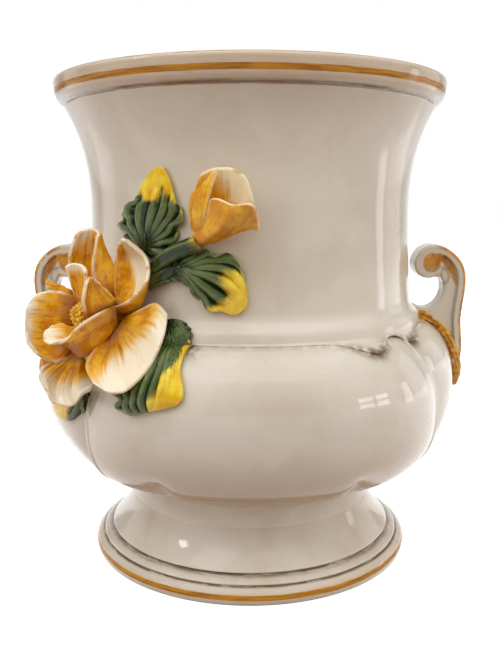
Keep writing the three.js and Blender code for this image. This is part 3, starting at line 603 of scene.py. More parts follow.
# Places in millimetres from the flower's heart: right, back, up. Rows run from base to rim.
petals = {
    "petalRight": {
        "node": "petal_right", "cream": (0.5, 2.0), "under": True,
        "rows": [
            [(7.5, 2, 10.5), (9, 0, 8.5), (10.5, -2, 6), (9.5, -6, 5), (8, -12, 8)],
            [(6.5, 3, 16.5), (9.5, 3, 13.5), (14, 0, 10.5), (20, -5, 7.5), (18, -14, 13.5)],
            [(6.5, 3, 25.5), (12, 4, 22.5), (19, 2, 21), (24.5, -3, 17.5), (27, -11, 23.5)],
            [(8.5, 2, 36), (13, 4, 35.5), (18, 4, 34.5), (24, 1, 34), (26, -5, 34.5)],
            [(12, -4, 44), (13, -4, 45), (14, -5, 45), (15, -5, 45), (16.5, -5, 44)],
        ],
    },
    "petalTop": {
        "node": "petal_top", "cream": (0.92, -0.5), "under": True,
        "rows": [
            [(-7.5, 3, 9), (-4, 4, 9), (0, 5, 8.5), (5.5, 4, 9), (3, 1, 9)],
            [(-17, 3, 27.5), (-12, 6, 25.5), (-4, 7, 24.5), (6.5, 3, 28), (-4, -3, 25.5)],
            [(-16, 0, 39), (-11, 5, 38), (-4, 6, 38.5), (2.5, 2, 39), (-2, -3, 40)],
            [(-11.5, -1, 48.5), (-7.5, 2, 50), (-3.5, 3, 50.5), (0, 1, 48.5), (0, -2, 47.5)],
        ],
    },
    "petalInnerRight": {
        "node": "petal_inner_right", "cream": (1.3, -0.4),
        "rows": [
            [(-5, -16, 3.5), (-0.5, -14, 5), (4, -11, 8), (7.5, -8, 9.5), (10, -6, 11.5)],
            [(-6, -19, 14), (-3.5, -14, 13.5), (0.5, -11, 14.5), (3.5, -10, 15.5), (6.5, -10, 17)],
            [(-4, -17, 23.5), (-3.5, -15, 25), (-3.5, -13, 25.5), (-2, -12, 25), (-1, -12, 24)],
        ],
    },
    "petalInnerLeft": {
        "node": "petal_inner_left", "cream": (0.75, 0),
        "rows": [
            [(-13, 0, 7), (-10.5, -1, 6.5), (-8, -2, 6.5), (-6, -4, 6.5), (-4, -6, 7.5)],
            [(-15.5, -6, 23), (-13, -4, 21.5), (-10.5, -4, 21.5), (-8, -6, 21.5), (-5.5, -11, 22)],
            [(-17, -8, 31), (-14, -6, 32), (-11, -6, 32), (-7.5, -8, 31), (-4.5, -12, 27.5)],
        ],
    },
    "petalLeft": {
        "node": "petal_left", "cream": (0.62, 0.3),
        "rows": [
            [(-16, -6, -17), (-16, -2, -9.5), (-15.5, 0, -2), (-14, 0, 6.5), (-12, -2, 13)],
            [(-23.5, -9, -22), (-27, -3, -13), (-27.5, -1, -2.5), (-26.5, 0, 7.5), (-23.5, 0, 16.5)],
            [(-32, -10, -18.5), (-36.5, -6, -12.5), (-37.5, -4, -2), (-36.5, -3, 8), (-33, 0, 15.5)],
            [(-37, -9, -13.5), (-39.5, -8, -8.5), (-40.5, -6, -1.5), (-40, -4, 7), (-37.5, -2, 12)],
        ],
    },
    "petalLowerLeft": {
        "node": "petal_lower_left", "cream": (0.48, 0), "grooves": 6, "grooveDepth": 0.95, "corner": 0.1,
        "rows": [
            [(-9, -7, -19), (-9.5, -7, -18), (-10.5, -7, -18), (-12.5, -7, -17.5), (-14.5, -7, -17.5)],
            [(-6.5, -8, -25), (-13, -9, -26.5), (-17.5, -7, -27), (-22.5, -6, -25), (-26, -8, -21.5)],
            [(-3.5, -10, -32), (-15, -10, -37), (-22, -8, -38.5), (-29, -8, -33.5), (-32, -10, -25.5)],
            [(-6, -14, -36), (-11.5, -13, -42.5), (-18.5, -13, -46), (-27, -13, -41), (-31.5, -12, -34)],
        ],
    },
    "petalLowerRight": {
        "node": "petal_lower_right", "cream": (0.4, -0.1, 0.45), "grooves": 7, "grooveDepth": 0.35,
        "rimShare": 0.35,
        "rows": [
            [(14, -6, 2.5), (12, -8, 0), (10, -9, -2.5), (7, -8, -6), (3.5, -5, -9.5)],
            [(24, -12, 8.5), (21, -12, -2.5), (13, -10, -11), (4.5, -10, -16), (-2, -16, -13.5)],
            [(32, -11, 11), (30, -18, -6.5), (18, -20, -21), (5, -22, -25.5), (-5.5, -20, -22)],
            [(39.5, -14, 4), (34.5, -26, -12), (23, -32, -28.5), (11.5, -31, -34), (0.5, -26, -31.5)],
        ],
    },
    "petalCup": {
        "node": "petal_cup", "cream": (0.75, 0), "under": True,
        "rows": [
            [(10.5, -14, 10.5), (10.5, -12, 3.5), (9.5, -6, 0), (8.5, -3, 6.5), (8.5, -2, 8.5)],
            [(2, -20, 7), (2.5, -18, -1.5), (3.5, -10, -8), (-3.5, -6, -1.5), (-3.5, -6, 4.5)],
            [(-8, -24, 0.5), (-7.5, -21, -9), (-8, -13, -17), (-13, -9, -5.5), (-13, -8, -2)],
            [(-14, -24, -6), (-14, -22, -8.5), (-15.5, -16, -11), (-19, -12, -4), (-20, -9, -0.5)],
            [(-22.5, -22, -10.5), (-26.5, -20, -8.5), (-28, -17, -6), (-28, -14, -4), (-26, -12, -2)],
        ],
    },
    "petalFarLeft": {
        "node": "petal_far_left", "cream": (0.9, 0),
        "rows": [
            [(-15.5, 5, 13), (-15.5, 5, 14), (-16, 5, 15.5)],
            [(-24.5, 8, 15.5), (-24, 8, 17), (-24, 8, 19)],
            [(-31, 9, 16.5), (-32, 9, 19), (-32.5, 9, 21.5)],
        ],
    },
    "petalBack": {
        "node": "petal_back", "cream": (1.2, 0),
        "rows": [
            [(-3, 3, -13), (-1.5, 3, -7), (-3, 3, -2)],
            [(-21.5, 3, -31), (-23, 6, -21.5), (-26.5, 7, -12)],
            [(-33, 6, -32), (-36, 7, -26), (-36, 7, -18)],
        ],
    },
}
petalThickness = 2.3


# Cream from a share of the petal's length outwards, amber below it, slanting across or kept off the sides.
def petalPaint(shape):
    start, slant, sides = (*shape["cream"], 0)[:3]

    def paint(u, v, side):
        if side < 0 and shape.get("under"):
            return {"amber": 0.95 - 0.25 * ease(0.5, 1, v)}
        bound = v + slant * u * 0.5 - sides * u * u + 0.07 * wavy(u * 3, v * 2, 11)
        return {"amber": 1 - ease(start - 0.4, start + 0.35, bound)}

    return paint


def petalRelief(shape):
    grooves, deep = shape.get("grooves", 9), shape.get("grooveDepth", 0.16)

    def relief(u, v):
        fan = u * grooves * math.pi / 2 + 0.5 * wavy(v * 3, u, 3)
        return deep * np.cos(fan) * ease(0.05, 0.35, v) + 0.25 * wavy(u * 1.6, v * 2.2, 17)

    return relief


def makePetal(name, shape, origin=flowerHeart):
    shape = {"thickness": petalThickness, **shape}
    face = rowsFace(shape)
    return makeSheet(name, lambda u, v: origin + face(u, v), shape, petalRelief(shape), petalPaint(shape))


def turned(profile, start, end, sides):
    axis = unit(end - start)
    over = unit(np.cross(axis, np.array([0.3, 0.2, 0.9])))
    other = np.cross(axis, over)
    turn = np.linspace(0, math.tau, sides, endpoint=False)
    ring = np.cos(turn)[:, None] * over + np.sin(turn)[:, None] * other
    return np.concatenate([start + axis * along + ring * radius for radius, along in profile])


def makeSeat():
    start = polar(-42, float(neckRadius(163)) - 2, 163)
    length = np.linalg.norm(flowerHeart - start)
    profile = flowing([(0.1, 0), (11, 0.2), (11.2, 3), (10.8, 8), (9.6, 12), (7, 15.5), (3, 17), (0.1, length)], 4)
    points = turned(profile, start, flowerHeart, 40)
    points = points + 0.35 * wavy(points[:, 2] / 5, points[:, 0] / 5, 4)[:, None] * np.array([0, -1, 0])
    return newMesh("flowerSeat", points, gridFaces(len(profile), 40, roundColumns=True), {"amber": 0.9})


stamens = {"beads": 96, "radius": 7.8, "reach": 16.8, "bead": 1.2, "toward": (-13.2, -8, 6.2)}


def makeStamens():
    axis = unit(np.array(stamens["toward"], float))
    over = unit(np.cross(axis, np.array([0, 0, 1.0])))
    other = np.cross(axis, over)
    picker = np.random.RandomState(8)
    profile = flowing([(0.1, -1), (4.6, -0.8), (6.6, 4), (7.2, 9), (6.4, 12.6), (4, 15.2), (0.1, 16.4)], 3)
    parts = [(turned(profile, flowerHeart, flowerHeart + axis, 28), gridFaces(len(profile), 28, roundColumns=True))]
    ball = bmesh.new()
    bmesh.ops.create_icosphere(ball, subdivisions=2, radius=1)
    ballPoints = np.array([v.co for v in ball.verts])
    ballFaces = [tuple(v.index for v in face.verts) for face in ball.faces]
    ball.free()
    for i in range(stamens["beads"]):
        share = (i + 0.5) / stamens["beads"]
        polarTurn, turn = math.acos(1 - 1.35 * share), i * 2.39996
        radius = stamens["radius"] * math.sin(polarTurn)
        along = 8 + (stamens["reach"] - 8) * math.cos(polarTurn)
        centre = (flowerHeart + axis * along
                  + (over * math.cos(turn) + other * math.sin(turn)) * radius)
        size = stamens["bead"] * picker.uniform(0.75, 1.25)
        stretch = picker.uniform(0.8, 1.25, 3)
        lump = 1 + 0.12 * wavy(ballPoints[:, 0] * 2 + i, ballPoints[:, 1] * 2 + ballPoints[:, 2], 6)
        parts.append((centre + ballPoints * stretch * size * lump[:, None], ballFaces))
    points, faces = joined(parts)
    rise = (points - flowerHeart) @ axis
    return newMesh("stamenCluster", points, faces, {"rise": rise / stamens["reach"]}, weld=0)


stem = {"course": [(-31.5, 190, -0.5), (-28.5, 193, 2.2), (-22, 200.5, 6), (-14, 207, 7.5)],
        "radius": 4.9, "flutes": 4, "fluteDepth": 0.1}


def makeStem():
    course = flowing([onSkin(*place) for place in stem["course"]], 16)
    run = unit(np.gradient(course, axis=0))
    outward = unit(course * np.array([1, 1, 0]))
    beside = unit(np.cross(run, outward))
    outward = np.cross(beside, run)
    turn = np.linspace(0, math.tau, 72, endpoint=False)[None, :]
    share = np.linspace(0, 1, len(course))[:, None]
    flute = np.abs(np.cos((turn * stem["flutes"] + share * 5) / 2)) ** 0.8
    radius = stem["radius"] * (0.5 + 0.42 * ease(0, 0.35, share) - 0.04 * share + stem["fluteDepth"] * (flute - 0.5))
    points = (course[:, None, :] + beside[:, None, :] * (radius * np.cos(turn))[..., None]
              + outward[:, None, :] * (radius * np.sin(turn))[..., None])
    rows, columns = points.shape[:2]
    faces = gridFaces(rows, columns, roundColumns=True)
    faces += [tuple(range(columns)), tuple(range((rows - 1) * columns, rows * columns))[::-1]]
    # The ridge mark gives the stalk painted highlights on its flutes and painted shade between them.
    return newMesh("flowerStalk", points.reshape(-1, 3), faces,
                   {"relief": flute.ravel() - 0.5, "along": np.broadcast_to(share, flute.shape).ravel(),
                    "across": np.broadcast_to(np.cos(turn), flute.shape).ravel(),
                    "ridge": flute.ravel() * 1.3 - 0.4,
                    "yellow": np.broadcast_to(0.5 * ease(0.75, 1, share), flute.shape).ravel()}, weld=0)


budBase = onSkin(-13.4, 207.5, 7.5)
budAlong = unit(onSkin(-4.5, 240, 13) - budBase)
budOut = polar(-10, 1, 0)
budOut = unit(budOut - budAlong * (budOut @ budAlong))
budSide = np.cross(budAlong, budOut)


def inBud(place):
    place = np.asarray(place, float)
    return budBase + place[..., :1] * budSide + place[..., 1:2] * budAlong + place[..., 2:] * budOut


# Places in millimetres from the bud's base: to the right, along it, and out from the neck.
budPetals = {
    "budBack": {
        "node": "bud_back", "cream": (0.78, 1.1),
        "rows": [
            [(-5, 2, -3), (-2, 1.5, -4), (2, 4, -2)],
            [(-12.5, 14, -2), (0.5, 19.5, -4), (15, 20, -1)],
            [(-15.5, 23.5, 0.5), (-14.5, 32, 1), (-7.5, 38.5, 0), (4, 42, 1), (16, 34.5, 2)],
        ],
    },
    "budWrapLeft": {
        "node": "bud_wrap_left", "cream": (1.1, 0.5), "ruffle": 0.6,
        "rows": [
            [(-6.5, 3, 1), (-2.5, 4, 4.5), (0.5, 8, 6.5)],
            [(-11.5, 10, 0), (-6.5, 13.5, 7), (-2, 16, 8)],
            [(-14, 16.5, 0), (-9, 22.5, 6), (-5, 26, 6.5)],
            [(-14.5, 20.5, 0), (-10.5, 28.5, 3.5), (-7.5, 42, 3)],
        ],
    },
    "budWrapRight": {
        "node": "bud_wrap_right", "cream": (1.2, 0.3), "ruffle": 0.2,
        "rows": [
            [(-4.5, 1, 3.5), (2, 1.5, 6.5), (6.5, 3.5, 3.5)],
            [(-1.5, 14, 7), (9, 17, 12.5), (19, 18, 6)],
            [(-4, 25.5, 9), (2, 27.5, 11.5), (9.5, 28.5, 13), (18.5, 33.5, 13.5), (27.5, 22.5, 8)],
        ],
    },
}
budPetalThickness = 2.1


def makeBudPetal(name, shape):
    shape = {"thickness": budPetalThickness, "span": (11, 30), "corner": 0.1, **shape}
    face = rowsFace(shape)
    return makeSheet(name, lambda u, v: inBud(face(u, v)), shape, petalRelief(shape), petalPaint(shape))


def makeBudHeart():
    profile = flowing([(0.1, -1), (3.4, -1), (4.6, 2), (5.2, 6), (5.2, 12), (3, 16.4), (0.1, 18)], 4)
    points = turned(profile, budBase, budBase + budAlong, 36)
    return newMesh("budHeart", points, gridFaces(len(profile), 36, roundColumns=True), {"amber": 0.8})


# Leaves laid on the urn's skin, each place an azimuth, a height and a lift. Rows run from base to tip.
leaves = {
    "leafUpper": {
        "node": "leaf_upper",
        "rows": [
            [(-34.5, 200, 1.5), (-33.5, 199.5, 2), (-32, 196, 1.5)],
            [(-44, 210.5, 1), (-31.5, 208.5, 4), (-24.5, 202.5, 1.5)],
            [(-46, 218, 1), (-30, 216, 5.5), (-20.5, 213, 1.5)],
            [(-42.5, 226, 1), (-28.5, 223.5, 6), (-20, 223.5, 1.5)],
            [(-37, 229.5, 1), (-28, 228, 5), (-22, 227, 1.5)],
            [(-35.5, 234.5, 1), (-27.5, 235, 4), (-23, 232.5, 1.5)],
            [(-31.5, 241.5, 1), (-27, 241.5, 3), (-24.5, 240, 1)],
            [(-28.5, 245, 1), (-27, 246, 1.5), (-26.5, 245, 1)],
        ],
        "fingers": 4.4, "fan": (-0.04, 0.06), "span": (18, 50), "fingerEnd": 0.72, "tipFrom": 0.64, "tipSlant": 0,
    },
    "leafRight": {
        "node": "leaf_right",
        "rows": [
            [(-33.5, 184, 1), (-32.5, 181, 1.5), (-31, 179.5, 1)],
            [(-29.5, 190, 1.5), (-26.5, 186.5, 3.5), (-24.5, 185.5, 1.5)],
            [(-24.5, 196.5, 1.5), (-20.5, 192, 5), (-19.5, 184.5, 1.5)],
            [(-15.5, 202, 1.5), (-15.5, 191, 6), (-17, 179, 1)],
            [(-9.5, 202.5, 1.5), (-12, 189.5, 6), (-14.5, 172.5, 1)],
            [(-4.5, 199, 1.5), (-8.5, 187, 5.5), (-11, 169.5, 1)],
            [(-1.5, 191, 1.5), (-5.5, 183, 4.5), (-8, 169.5, 1)],
            [(-1, 181.5, 1), (-3, 177, 3), (-5.5, 168, 1)],
            [(-1, 174.5, 1), (-1.5, 171, 1.5), (-3.5, 168.5, 1)],
        ],
        "fingers": 4.6, "fan": (0.24, 0.16), "span": (14, 52), "fingerEnd": 0.84, "tipFrom": 0.72, "tipSlant": 0.06,
    },
    "leafLowerRight": {
        "node": "leaf_lower_right",
        "rows": [
            [(-20, 163.5, 1), (-24.5, 164.5, 3), (-32.5, 158, 1)],
            [(-16.5, 159, 1.5), (-21.5, 157, 4.5), (-36, 148.5, 1)],
            [(-16.5, 152, 1.5), (-21.5, 150.5, 5.5), (-36, 140, 1)],
            [(-16.5, 142, 1.5), (-21, 143, 6), (-36, 131, 1.5)],
            [(-15, 134, 1.5), (-21.5, 134.5, 5.5), (-35, 123.5, 1.5)],
            [(-15, 127.5, 1.5), (-22, 127, 4.5), (-32.5, 119, 1.5)],
            [(-17.5, 123.5, 1), (-22, 120.5, 1.5), (-28, 116, 1)],
        ],
        "fingers": 11, "fan": (-0.15, -0.15), "span": (20, 44), "fingerEnd": 0.98, "tipFrom": 0.82, "tipSlant": -0.62,
    },
    "leafLowerLeft": {
        "node": "leaf_lower_left",
        "rows": [
            [(-53, 122.5, 2), (-47.5, 124, 4), (-46, 123.5, 3)],
            [(-57.5, 117.5, 1.5), (-48, 120, 4.5), (-46, 119, 2.5)],
            [(-61.5, 109, 1), (-51, 111, 3.5), (-47.5, 111, 1)],
            [(-60, 102, 0.5), (-55, 102, 1), (-52, 103.5, -0.5)],
        ],
        "fingers": 3.5, "fan": (-0.1, -0.1), "span": (14, 24), "fingerEnd": 0.8, "tipFrom": 0.66, "tipSlant": -0.7,
    },
}
leafCut = {"thickness": 2.8, "depth": 1.6, "notch": 0.24, "tipSmooth": 0.12, "fanTurn": 78}


def makeLeaf(name, shape):
    shape = {"thickness": leafCut["thickness"], "grid": (113, 113), "ruffle": 0, **shape}
    face = rowsFace(shape)
    halfWidth, length = shape["span"]

    # How a place lies in the fan of its side: its distance from the fan's foot, and its turn.
    def inFan(u, v):
        foot = np.where(u < 0, shape["fan"][0], shape["fan"][1])
        out, up = np.abs(u) * halfWidth, (v - foot) * length
        bend = 5 * ease(0.2, 1, np.abs(u))
        return np.hypot(out, up) / halfWidth, np.degrees(np.arctan2(out, up)) + bend

    # Fingers fan out from the midrib: 1 along the back of one and -1 in the groove between two.
    def finger(u, v):
        _, turn = inFan(u, v)
        wave = np.cos(math.tau * shape["fingers"] * np.clip(turn, 0, 100) / leafCut["fanTurn"])
        return 1 - 2 * (0.5 - 0.5 * wave) ** 1.8

    def cut(u, v):
        bound = v + shape["tipSlant"] * u
        return 1 - ease(shape["fingerEnd"] - leafCut["tipSmooth"], shape["fingerEnd"], bound)

    def place(u, v):
        notch = leafCut["notch"] * (0.5 - 0.5 * finger(np.ones_like(u), v)) * cut(u, v)
        flat = face(u * (1 - notch * np.abs(u) ** 2), v)
        away, _ = inFan(u, v)
        lift = leafCut["depth"] * (finger(u, v) - 0.3) * ease(0.1, 0.9, away) * cut(u, v)
        return onSkin(flat[..., 0], flat[..., 1], flat[..., 2] + lift)

    def paint(u, v, side):
        ragged = 0.09 * wavy(u * 3, v * 3, 21) + 0.03 * finger(u, v)
        bound = v + shape["tipSlant"] * u + ragged
        away, turn = inFan(u, v)
        return {"ridge": finger(u, v) * ease(0.1, 0.7, away) * cut(u, v), "across": turn / 12,
                "yellow": ease(shape["tipFrom"] - 0.16, shape["tipFrom"] + 0.16, bound)}

    return makeSheet(name, place, shape, None, paint)


def linear(red, green, blue):
    channels = [c / 255 for c in (red, green, blue)]
    return tuple(c / 12.92 if c < 0.04045 else ((c + 0.055) / 1.055) ** 2.4 for c in channels) + (1,)


# Adds a node; its inputs are numbers, colours or sockets of other nodes.
def add(tree, kind, inputs=(), **settings):
    made = tree.nodes.new(kind)
    for key, value in settings.items():
        setattr(made, key, value)
    for key, value in dict(inputs).items():
        if isinstance(value, bpy.types.NodeSocket):
            tree.links.new(value, made.inputs[key])
        else:
            made.inputs[key].default_value = value
    return made


def math2(tree, operation, first, second=0.5):
    return add(tree, "ShaderNodeMath", {0: first, 1: second}, operation=operation).outputs[0]


def smooth(tree, value, low, high, start=0.0, end=1.0):
    made = add(tree, "ShaderNodeMapRange",
               {"Value": value, "From Min": low, "From Max": high, "To Min": start, "To Max": end},
               interpolation_type="SMOOTHSTEP")
    return made.outputs["Result"]


def mix(tree, share, first, second, kind="MIX"):
    made = add(tree, "ShaderNodeMix", {0: share, 6: first, 7: second}, data_type="RGBA", blend_type=kind)
    return made.outputs[2]


def noise(tree, place, scale, detail=3.0, roughness=0.55, distortion=0.0):
    made = add(tree, "ShaderNodeTexNoise", {"Vector": place, "Scale": scale, "Detail": detail,
                                            "Roughness": roughness, "Distortion": distortion})
    return made.outputs["Fac"]


def mark(tree, name):
    return add(tree, "ShaderNodeAttribute", attribute_name=name).outputs["Fac"]


def here(tree):
    return add(tree, "ShaderNodeTexCoord").outputs["Object"]


def newGroup(name, inputs, outputs):
    group = bpy.data.node_groups.new(name, "ShaderNodeTree")
    for label, kind, value in inputs:
        socket = group.interface.new_socket(label, in_out="INPUT", socket_type="NodeSocket" + kind)
        if value is not None:
            socket.default_value = value
    for label, kind in outputs:
        group.interface.new_socket(label, in_out="OUTPUT", socket_type="NodeSocket" + kind)
    start = group.nodes.new("NodeGroupInput").outputs
    end = group.nodes.new("NodeGroupOutput").inputs
    return group, start, end


def use(tree, group, inputs=()):
    made = tree.nodes.new("ShaderNodeGroup")
    made.node_tree = group
    for key, value in dict(inputs).items():
        if isinstance(value, bpy.types.NodeSocket):
            tree.links.new(value, made.inputs[key])
        else:
            made.inputs[key].default_value = value
    return made.outputs


# Cloudy cream glaze with fine tan specks: colour, roughness and the soft unevenness of its surface.
def makeGlazeGround():
    group, given, out = newGroup(
        "cream glaze ground",
        [("Light", "Color", None), ("Shade", "Color", None), ("Speck", "Color", None), ("Specks", "Float", 0.5)],
        [("Color", "Color"), ("Roughness", "Float"), ("Height", "Float")])
    place = here(group)
    clouds = noise(group, place, 22, 4, 0.6, 0.4)
    fine = noise(group, place, 260, 3, 0.6)
    ground = mix(group, smooth(group, clouds, 0.35, 0.7), given["Light"], given["Shade"])
    dust = noise(group, place, 900, 2, 0.5)
    where = smooth(group, noise(group, place, 40, 3, 0.6), 0.5, 0.66)
    specks = math2(group, "MULTIPLY", smooth(group, dust, 0.62, 0.7), math2(group, "ADD", where, 0.12))
    specks = math2(group, "MULTIPLY", specks, given["Specks"])
    group.links.new(mix(group, specks, ground, given["Speck"]), out["Color"])
    group.links.new(smooth(group, clouds, 0.2, 0.8, 0.2, 0.32), out["Roughness"])
    waves = noise(group, place, 60, 3, 0.5)
    height = math2(group, "ADD", math2(group, "MULTIPLY", waves, 0.8), math2(group, "MULTIPLY", fine, 0.2))
    group.links.new(height, out["Height"])
    return group


# A mask for paint between two heights round the urn, with an uneven brushed edge and streaks in it.
def makePaintedBand():
    group, given, out = newGroup(
        "painted band",
        [("Low", "Float", 0.0), ("High", "Float", 1.0), ("Soft", "Float", 0.5), ("Wander", "Float", 0.5)],
        [("Mask", "Float"), ("Streaks", "Float")])
    place = here(group)
    parts = add(group, "ShaderNodeSeparateXYZ", {0: place}).outputs
    height = math2(group, "MULTIPLY", parts[2], 1000.0)
    drift = math2(group, "SUBTRACT", noise(group, place, 75, 3, 0.6), 0.5)
    height = math2(group, "ADD", height, math2(group, "MULTIPLY", drift, given["Wander"]))
    over = smooth(group, height, math2(group, "SUBTRACT", given["Low"], given["Soft"]),
                  math2(group, "ADD", given["Low"], given["Soft"]))
    under = smooth(group, height, math2(group, "SUBTRACT", given["High"], given["Soft"]),
                   math2(group, "ADD", given["High"], given["Soft"]), 1.0, 0.0)
    group.links.new(math2(group, "MULTIPLY", over, under), out["Mask"])
    stretched = add(group, "ShaderNodeCombineXYZ", {0: parts[0], 1: parts[1],
                                                    2: math2(group, "MULTIPLY", parts[2], 26.0)}).outputs[0]
    group.links.new(noise(group, stretched, 50, 4, 0.65), out["Streaks"])
    return group


# Streaks drawn along a petal or leaf, from the marks that its mesh carries.
def makeBrushStreaks():
    group, given, out = newGroup(
        "brush streaks", [("Across", "Float", 9.0), ("Along", "Float", 1.6)],
        [("Streaks", "Float"), ("Blotches", "Float")])
    place = here(group)
    own = noise(group, place, 9, 1)
    line = add(group, "ShaderNodeCombineXYZ", {
        0: math2(group, "MULTIPLY", mark(group, "across"), given["Across"]),
        1: math2(group, "MULTIPLY", mark(group, "along"), given["Along"]),
        2: math2(group, "MULTIPLY", own, 30.0)}).outputs[0]
    group.links.new(noise(group, line, 1.0, 4, 0.6, 0.3), out["Streaks"])
    group.links.new(noise(group, place, 110, 3, 0.6), out["Blotches"])
    return group


glazeGround, paintedBand, brushStreaks = makeGlazeGround(), makePaintedBand(), makeBrushStreaks()


# A fired glaze: soft colour under a clear gloss.
def glossy(name, bumpDistance=0.0004, bumpStrength=0.3, coatRoughness=0.05, coat=0.85):
    material = bpy.data.materials.new(name)
    material.use_nodes = True
    tree = material.node_tree
    tree.nodes.clear()
    bump = add(tree, "ShaderNodeBump", {"Strength": bumpStrength, "Distance": bumpDistance})
    shader = add(tree, "ShaderNodeBsdfPrincipled", {"Coat Weight": coat, "Coat Roughness": coatRoughness,
                                                    "Coat IOR": 1.45, "Specular IOR Level": 0.08})
    tree.links.new(bump.outputs[0], shader.inputs["Normal"])
    tree.links.new(bump.outputs[0], shader.inputs["Coat Normal"])
    end = add(tree, "ShaderNodeOutputMaterial")
    tree.links.new(shader.outputs[0], end.inputs[0])
    return material, tree, shader.inputs, bump.inputs


cream = {"light": linear(221, 212, 196), "shade": linear(211, 200, 181), "speck": linear(160, 130, 98)}
ochre = {"deep": linear(150, 92, 0), "bright": linear(204, 140, 2)}
# A brown for stain that also serves as painted shade, under the collar's hem and in the handles' channel.
stainAndShadeColor = linear(106, 76, 48)


def painted(tree, color, low, high, soft=0.25, wander=0.6, deep=None, bright=None, strength=1.0):
    band = use(tree, paintedBand, {"Low": low, "High": high, "Soft": soft, "Wander": wander})
    tone = mix(tree, smooth(tree, band["Streaks"], 0.35, 0.62), deep or ochre["deep"], bright or ochre["bright"])
    return mix(tree, math2(tree, "MULTIPLY", band["Mask"], strength), color, tone), band


def groundOf(tree, specks, light=None, shade=None):
    return use(tree, glazeGround, {"Light": light or cream["light"], "Shade": shade or cream["shade"],
                                   "Speck": cream["speck"], "Specks": specks})


def makeNeckGlaze():
    material, tree, shader, bump = glossy("ivory glaze of the neck", coatRoughness=0.09)
    ground = groundOf(tree, 0.12)
    outside = mark(tree, "outside")
    # A soft browner band round the rim, above and below the ochre.
    browned, _ = painted(tree, ground["Color"], 288, 298.4, 1.2, 1.0, linear(196, 160, 118), linear(208, 180, 144),
                        math2(tree, "MULTIPLY", outside, 0.5))
    color, band = painted(tree, browned, 290.9, 294.1, strength=outside)
    color, _ = painted(tree, color, 299.4, 301, 0.3, 0.5, strength=outside)
    line, groove = painted(tree, color, 284.9, 286.7, 0.6, 0.8, linear(94, 66, 40), linear(150, 118, 84))
    broken = smooth(tree, groove["Streaks"], 0.34, 0.52)
    color = mix(tree, math2(tree, "MULTIPLY", broken, math2(tree, "MULTIPLY", outside, 0.85)), color, line)
    tree.links.new(smooth(tree, math2(tree, "MULTIPLY", band["Mask"], outside), 0.0, 1.0, 0.85, 0.3), shader["Coat Weight"])
    # Brown stain with painted shade along the collar's hem.
    color = mix(tree, math2(tree, "MULTIPLY", mark(tree, "stainAndShade"),
                            smooth(tree, noise(tree, here(tree), 170, 4, 0.7), 0.34, 0.54)), color, stainAndShadeColor)
    tree.links.new(color, shader["Base Color"])
    tree.links.new(ground["Roughness"], shader["Roughness"])
    tree.links.new(ground["Height"], bump["Height"])
    return material


def makeBellyGlaze():
    material, tree, shader, bump = glossy("ivory glaze of the belly")
    ground = groundOf(tree, 0.18)
    height = add(tree, "ShaderNodeSeparateXYZ", {0: here(tree)}).outputs[2]
    # Painted shade: the glaze turns browner towards the bottom of the belly.
    paintedUnderShade = smooth(tree, height, 0.108, 0.06, 0.0, 0.75)
    # Brown stain with painted shade below the collar's hem and beside the leaves.
    stainAndShadeMask = math2(tree, "MULTIPLY", mark(tree, "stainAndShade"),
                 smooth(tree, noise(tree, here(tree), 170, 4, 0.7), 0.34, 0.54))
    color = mix(tree, paintedUnderShade, ground["Color"], linear(208, 186, 156))
    color = mix(tree, stainAndShadeMask, color, stainAndShadeColor)
    # The lobe edges paler: thinned glaze together with a painted highlight.
    color = mix(tree, math2(tree, "MULTIPLY", mark(tree, "wearAndHighlight"), 0.8), color, linear(238, 234, 226))
    tree.links.new(color, shader["Base Color"])
    tree.links.new(ground["Roughness"], shader["Roughness"])
    tree.links.new(ground["Height"], bump["Height"])
    return material


def makeFootGlaze():
    material, tree, shader, bump = glossy("ivory glaze of the foot")
    ground = groundOf(tree, 0.2, linear(222, 212, 196), linear(210, 197, 177))
    # Browner towards the foot's bottom edge.
    browned, _ = painted(tree, ground["Color"], -1, 8, 0.8, 1.0, linear(196, 160, 118), linear(208, 180, 144), 0.36)
    color, ochreBand = painted(tree, browned, 3.4, 6.4, 0.3, 0.7)
    tree.links.new(smooth(tree, ochreBand["Mask"], 0.0, 1.0, 0.85, 0.3), shader["Coat Weight"])
    color, _ = painted(tree, color, -1, 0.7, 0.3, 0.3, linear(90, 66, 44), linear(130, 98, 66))
    groove, band = painted(tree, color, 9.3, 10.4, 0.35, 0.5, linear(78, 58, 38), linear(122, 98, 70))
    color = mix(tree, smooth(tree, band["Streaks"], 0.32, 0.5), color, groove)
    groove, band = painted(tree, color, 13.1, 14.8, 0.5, 0.9, linear(80, 60, 40), linear(136, 112, 82))
    color = mix(tree, smooth(tree, band["Streaks"], 0.32, 0.55), color, groove)
    tree.links.new(color, shader["Base Color"])
    tree.links.new(ground["Roughness"], shader["Roughness"])
    tree.links.new(ground["Height"], bump["Height"])
    return material


def makeHandleGlaze():
    material, tree, shader, bump = glossy("ivory glaze of the handles", coat=0.6)
    ground = groundOf(tree, 0.4)
    place = here(tree)
    tone = mix(tree, smooth(tree, noise(tree, place, 160, 4, 0.65), 0.35, 0.65),
               linear(172, 104, 0), linear(216, 154, 6))
    wearAndHighlight = smooth(tree, noise(tree, place, 300, 3, 0.6), 0.34, 0.44)
    # Painted shade along the inner edge of the raised band.
    color = mix(tree, math2(tree, "MULTIPLY", mark(tree, "channelShade"), 0.5), ground["Color"], stainAndShadeColor)
    color = mix(tree, math2(tree, "MULTIPLY", mark(tree, "paint"), wearAndHighlight), color, tone)
    patchy = smooth(tree, noise(tree, place, 130, 3, 0.6), 0.3, 0.5, 0.75, 1.0)
    color = mix(tree, math2(tree, "MULTIPLY", mark(tree, "comma"), patchy), color, tone)
    tree.links.new(color, shader["Base Color"])
    tree.links.new(ground["Roughness"], shader["Roughness"])
    tree.links.new(ground["Height"], bump["Height"])
    return material


